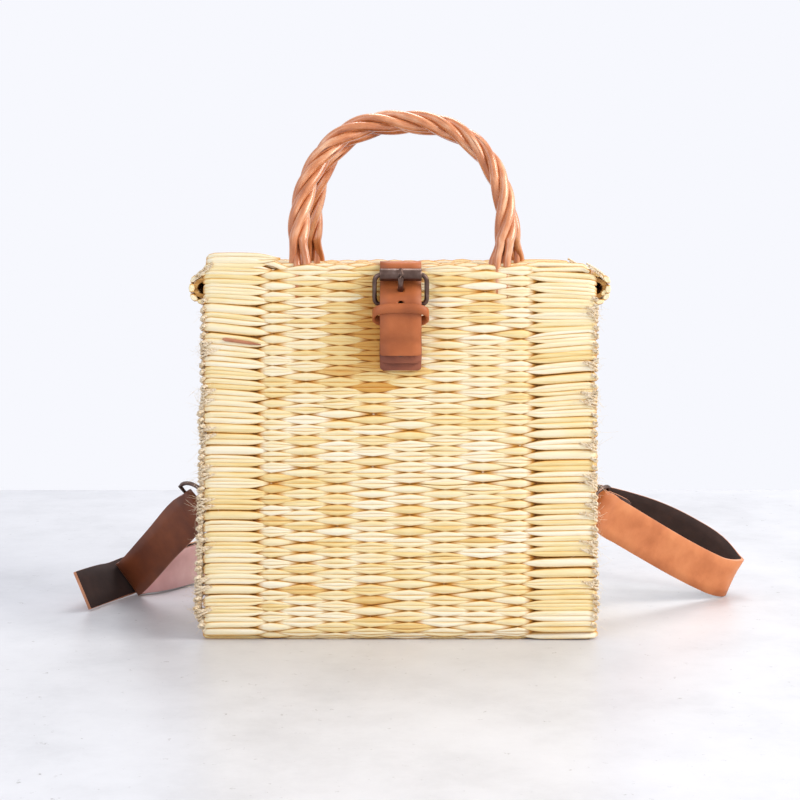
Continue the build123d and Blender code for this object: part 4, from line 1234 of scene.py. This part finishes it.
def seamPiece(sideLabel, seam, faceLabel, face):
    side, edge = seam["side"], seam["edge"]
    rng = random.Random(40 + side * 3 + face)
    spine = []
    for z in range(6, 207, 7):
        x = along(edge, z) - jute["spineIn"] + rng.uniform(-0.4, 0.4)
        spine.append(Vector((side * x, face * (jute["spineY"] + rng.uniform(-0.9, 0.9)), z)))
    lines, hairs = twine(rng, spine, jute["spine"]), []
    z = jute["low"]
    while z < jute["high"]:
        tied = min(abs(z - h) for h in seam["ties"]) < jute["tieNear"]
        kind = "tie" if tied else "wrap"
        for strand in range(jute["tieStrands"] if tied else 1):
            level = z + strand * jute["strandRise"]
            x = along(edge, level)
            reach = rng.uniform(*jute[kind + "Reach"])
            meet = z + 3.6 + rng.uniform(-0.5, 0.5) if tied else level + 0.9
            path = [Vector((side * a, face * b, c)) for a, b, c in (
                (x - reach - 1.5, 54.4 if tied else 53.8, meet + reach * 0.12),
                (x - reach * 0.55, 55.4, meet * 0.6 + level * 0.4), (x - 1.2, 54.4, level),
                (x - 0.2, 52.0, level - 0.9), (x - 0.9, 49.0, level - 1.9),
                (113.8, 46.0, level - 2.6),
            )]
            lines += twine(rng, path, jute[kind], jute["wrapTwist"])
            hairs += [hairLine(rng, path, face) for _ in range(jute[kind + "Hairs"])]
        z += rng.uniform(*jute["next"])
    for shift in (0.0, jute["secondTurn"]):
        path = [
            Vector((side * (x + shift * outward), face * y, height - shift * fall))
            for x, y, height, outward, fall in hemTies
        ]
        lines += twine(rng, path, jute["hem"], jute["hemTwist"])
    name = f"seam{faceLabel}{sideLabel}"
    node = f"seam_{faceLabel.lower()}_{sideLabel.lower()}"
    tubePiece(name, lines, 5, "jute", node)
    tubePiece(name + "Fibres", hairs, 3, "jute")


for sideLabel, seam in seams.items():
    for faceLabel, face in (("Front", -1), ("Back", 1)):
        seamPiece(sideLabel, seam, faceLabel, face)
print("seams ready")

# The rivets keep their own shape
for name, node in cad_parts.items():
    if "rivet" in name:
        node.data.materials.clear()
        node.data.materials.append(materials["bronze"])

# The studio: a pale stone table in soft daylight from the right, in metres
studio = {
    "cameraHeight": 0.255,
    "cameraDistance": 1.055,
    "lens": 75.0,
    "lift": -0.23,
    "tableBack": 0.496,
    "tableFront": -1.3,
    "tableHalfWidth": 2.2,
    # name, place, height that it points at, size, power, colour
    "lamps": (
        ("window", (1.5, -0.6, 1.1), 0.12, 1.0, 28.0, "#fffaf2"),
        ("fill", (-1.3, -1.5, 1.0), 0.12, 1.4, 10.5, "#f4f7ff"),
        ("top", (0.2, 0.7, 1.7), 0.1, 0.9, 15.0, "#ffffff"),
    ),
    "skyLight": ("#f3f5ff", 0.62),
    "skySeen": ("#f7f8fe", 1.0),
}


def buildTable():
    wide, front, back = studio["tableHalfWidth"], studio["tableFront"], studio["tableBack"]
    corners = [(-wide, front, 0), (wide, front, 0), (wide, back, 0), (-wide, back, 0)]
    mesh = bpy.data.meshes.new("table")
    mesh.from_pydata(corners, [], [[0, 1, 2, 3]])
    mesh.materials.append(stoneMaterial())
    newObject("table", mesh)


def buildLight():
    world = bpy.data.worlds.new("daylight")
    bpy.context.scene.world = world
    world.use_nodes = True
    tree = world.node_tree
    tree.nodes.clear()
    lit, seen = [
        addNode(tree, "ShaderNodeBackground", {"Color": linearColour(code), "Strength": strength})
        for code, strength in (studio["skyLight"], studio["skySeen"])
    ]
    rays = addNode(tree, "ShaderNodeLightPath").outputs
    inputs = {0: rays["Is Camera Ray"], 1: rays["Is Glossy Ray"]}
    either = addNode(tree, "ShaderNodeMath", inputs, operation="MAXIMUM")
    inputs = {0: either.outputs[0], 1: lit.outputs[0], 2: seen.outputs[0]}
    mix = addNode(tree, "ShaderNodeMixShader", inputs)
    addNode(tree, "ShaderNodeOutputWorld", {"Surface": mix.outputs[0]})
    for name, place, aim, size, power, colour in studio["lamps"]:
        data = bpy.data.lights.new(name, "AREA")
        data.energy = power
        data.size = size
        data.color = linearColour(colour)[:3]
        lamp = newObject(name, data)
        lamp.location = place
        way = Vector((0.0, 0, aim)) - Vector(place)
        lamp.rotation_euler = way.to_track_quat("-Z", "Y").to_euler()


def buildCamera():
    data = bpy.data.cameras.new("camera")
    data.lens = studio["lens"]
    data.shift_y = studio["lift"]
    data.clip_end = 20
    camera = newObject("camera", data)
    camera.location = (0, -studio["cameraDistance"], studio["cameraHeight"])
    camera.rotation_euler = (math.pi / 2, 0, 0)
    bpy.context.scene.camera = camera
    bpy.context.scene.view_settings.view_transform = "Standard"


buildTable()
buildLight()
buildCamera()
print("studio ready")
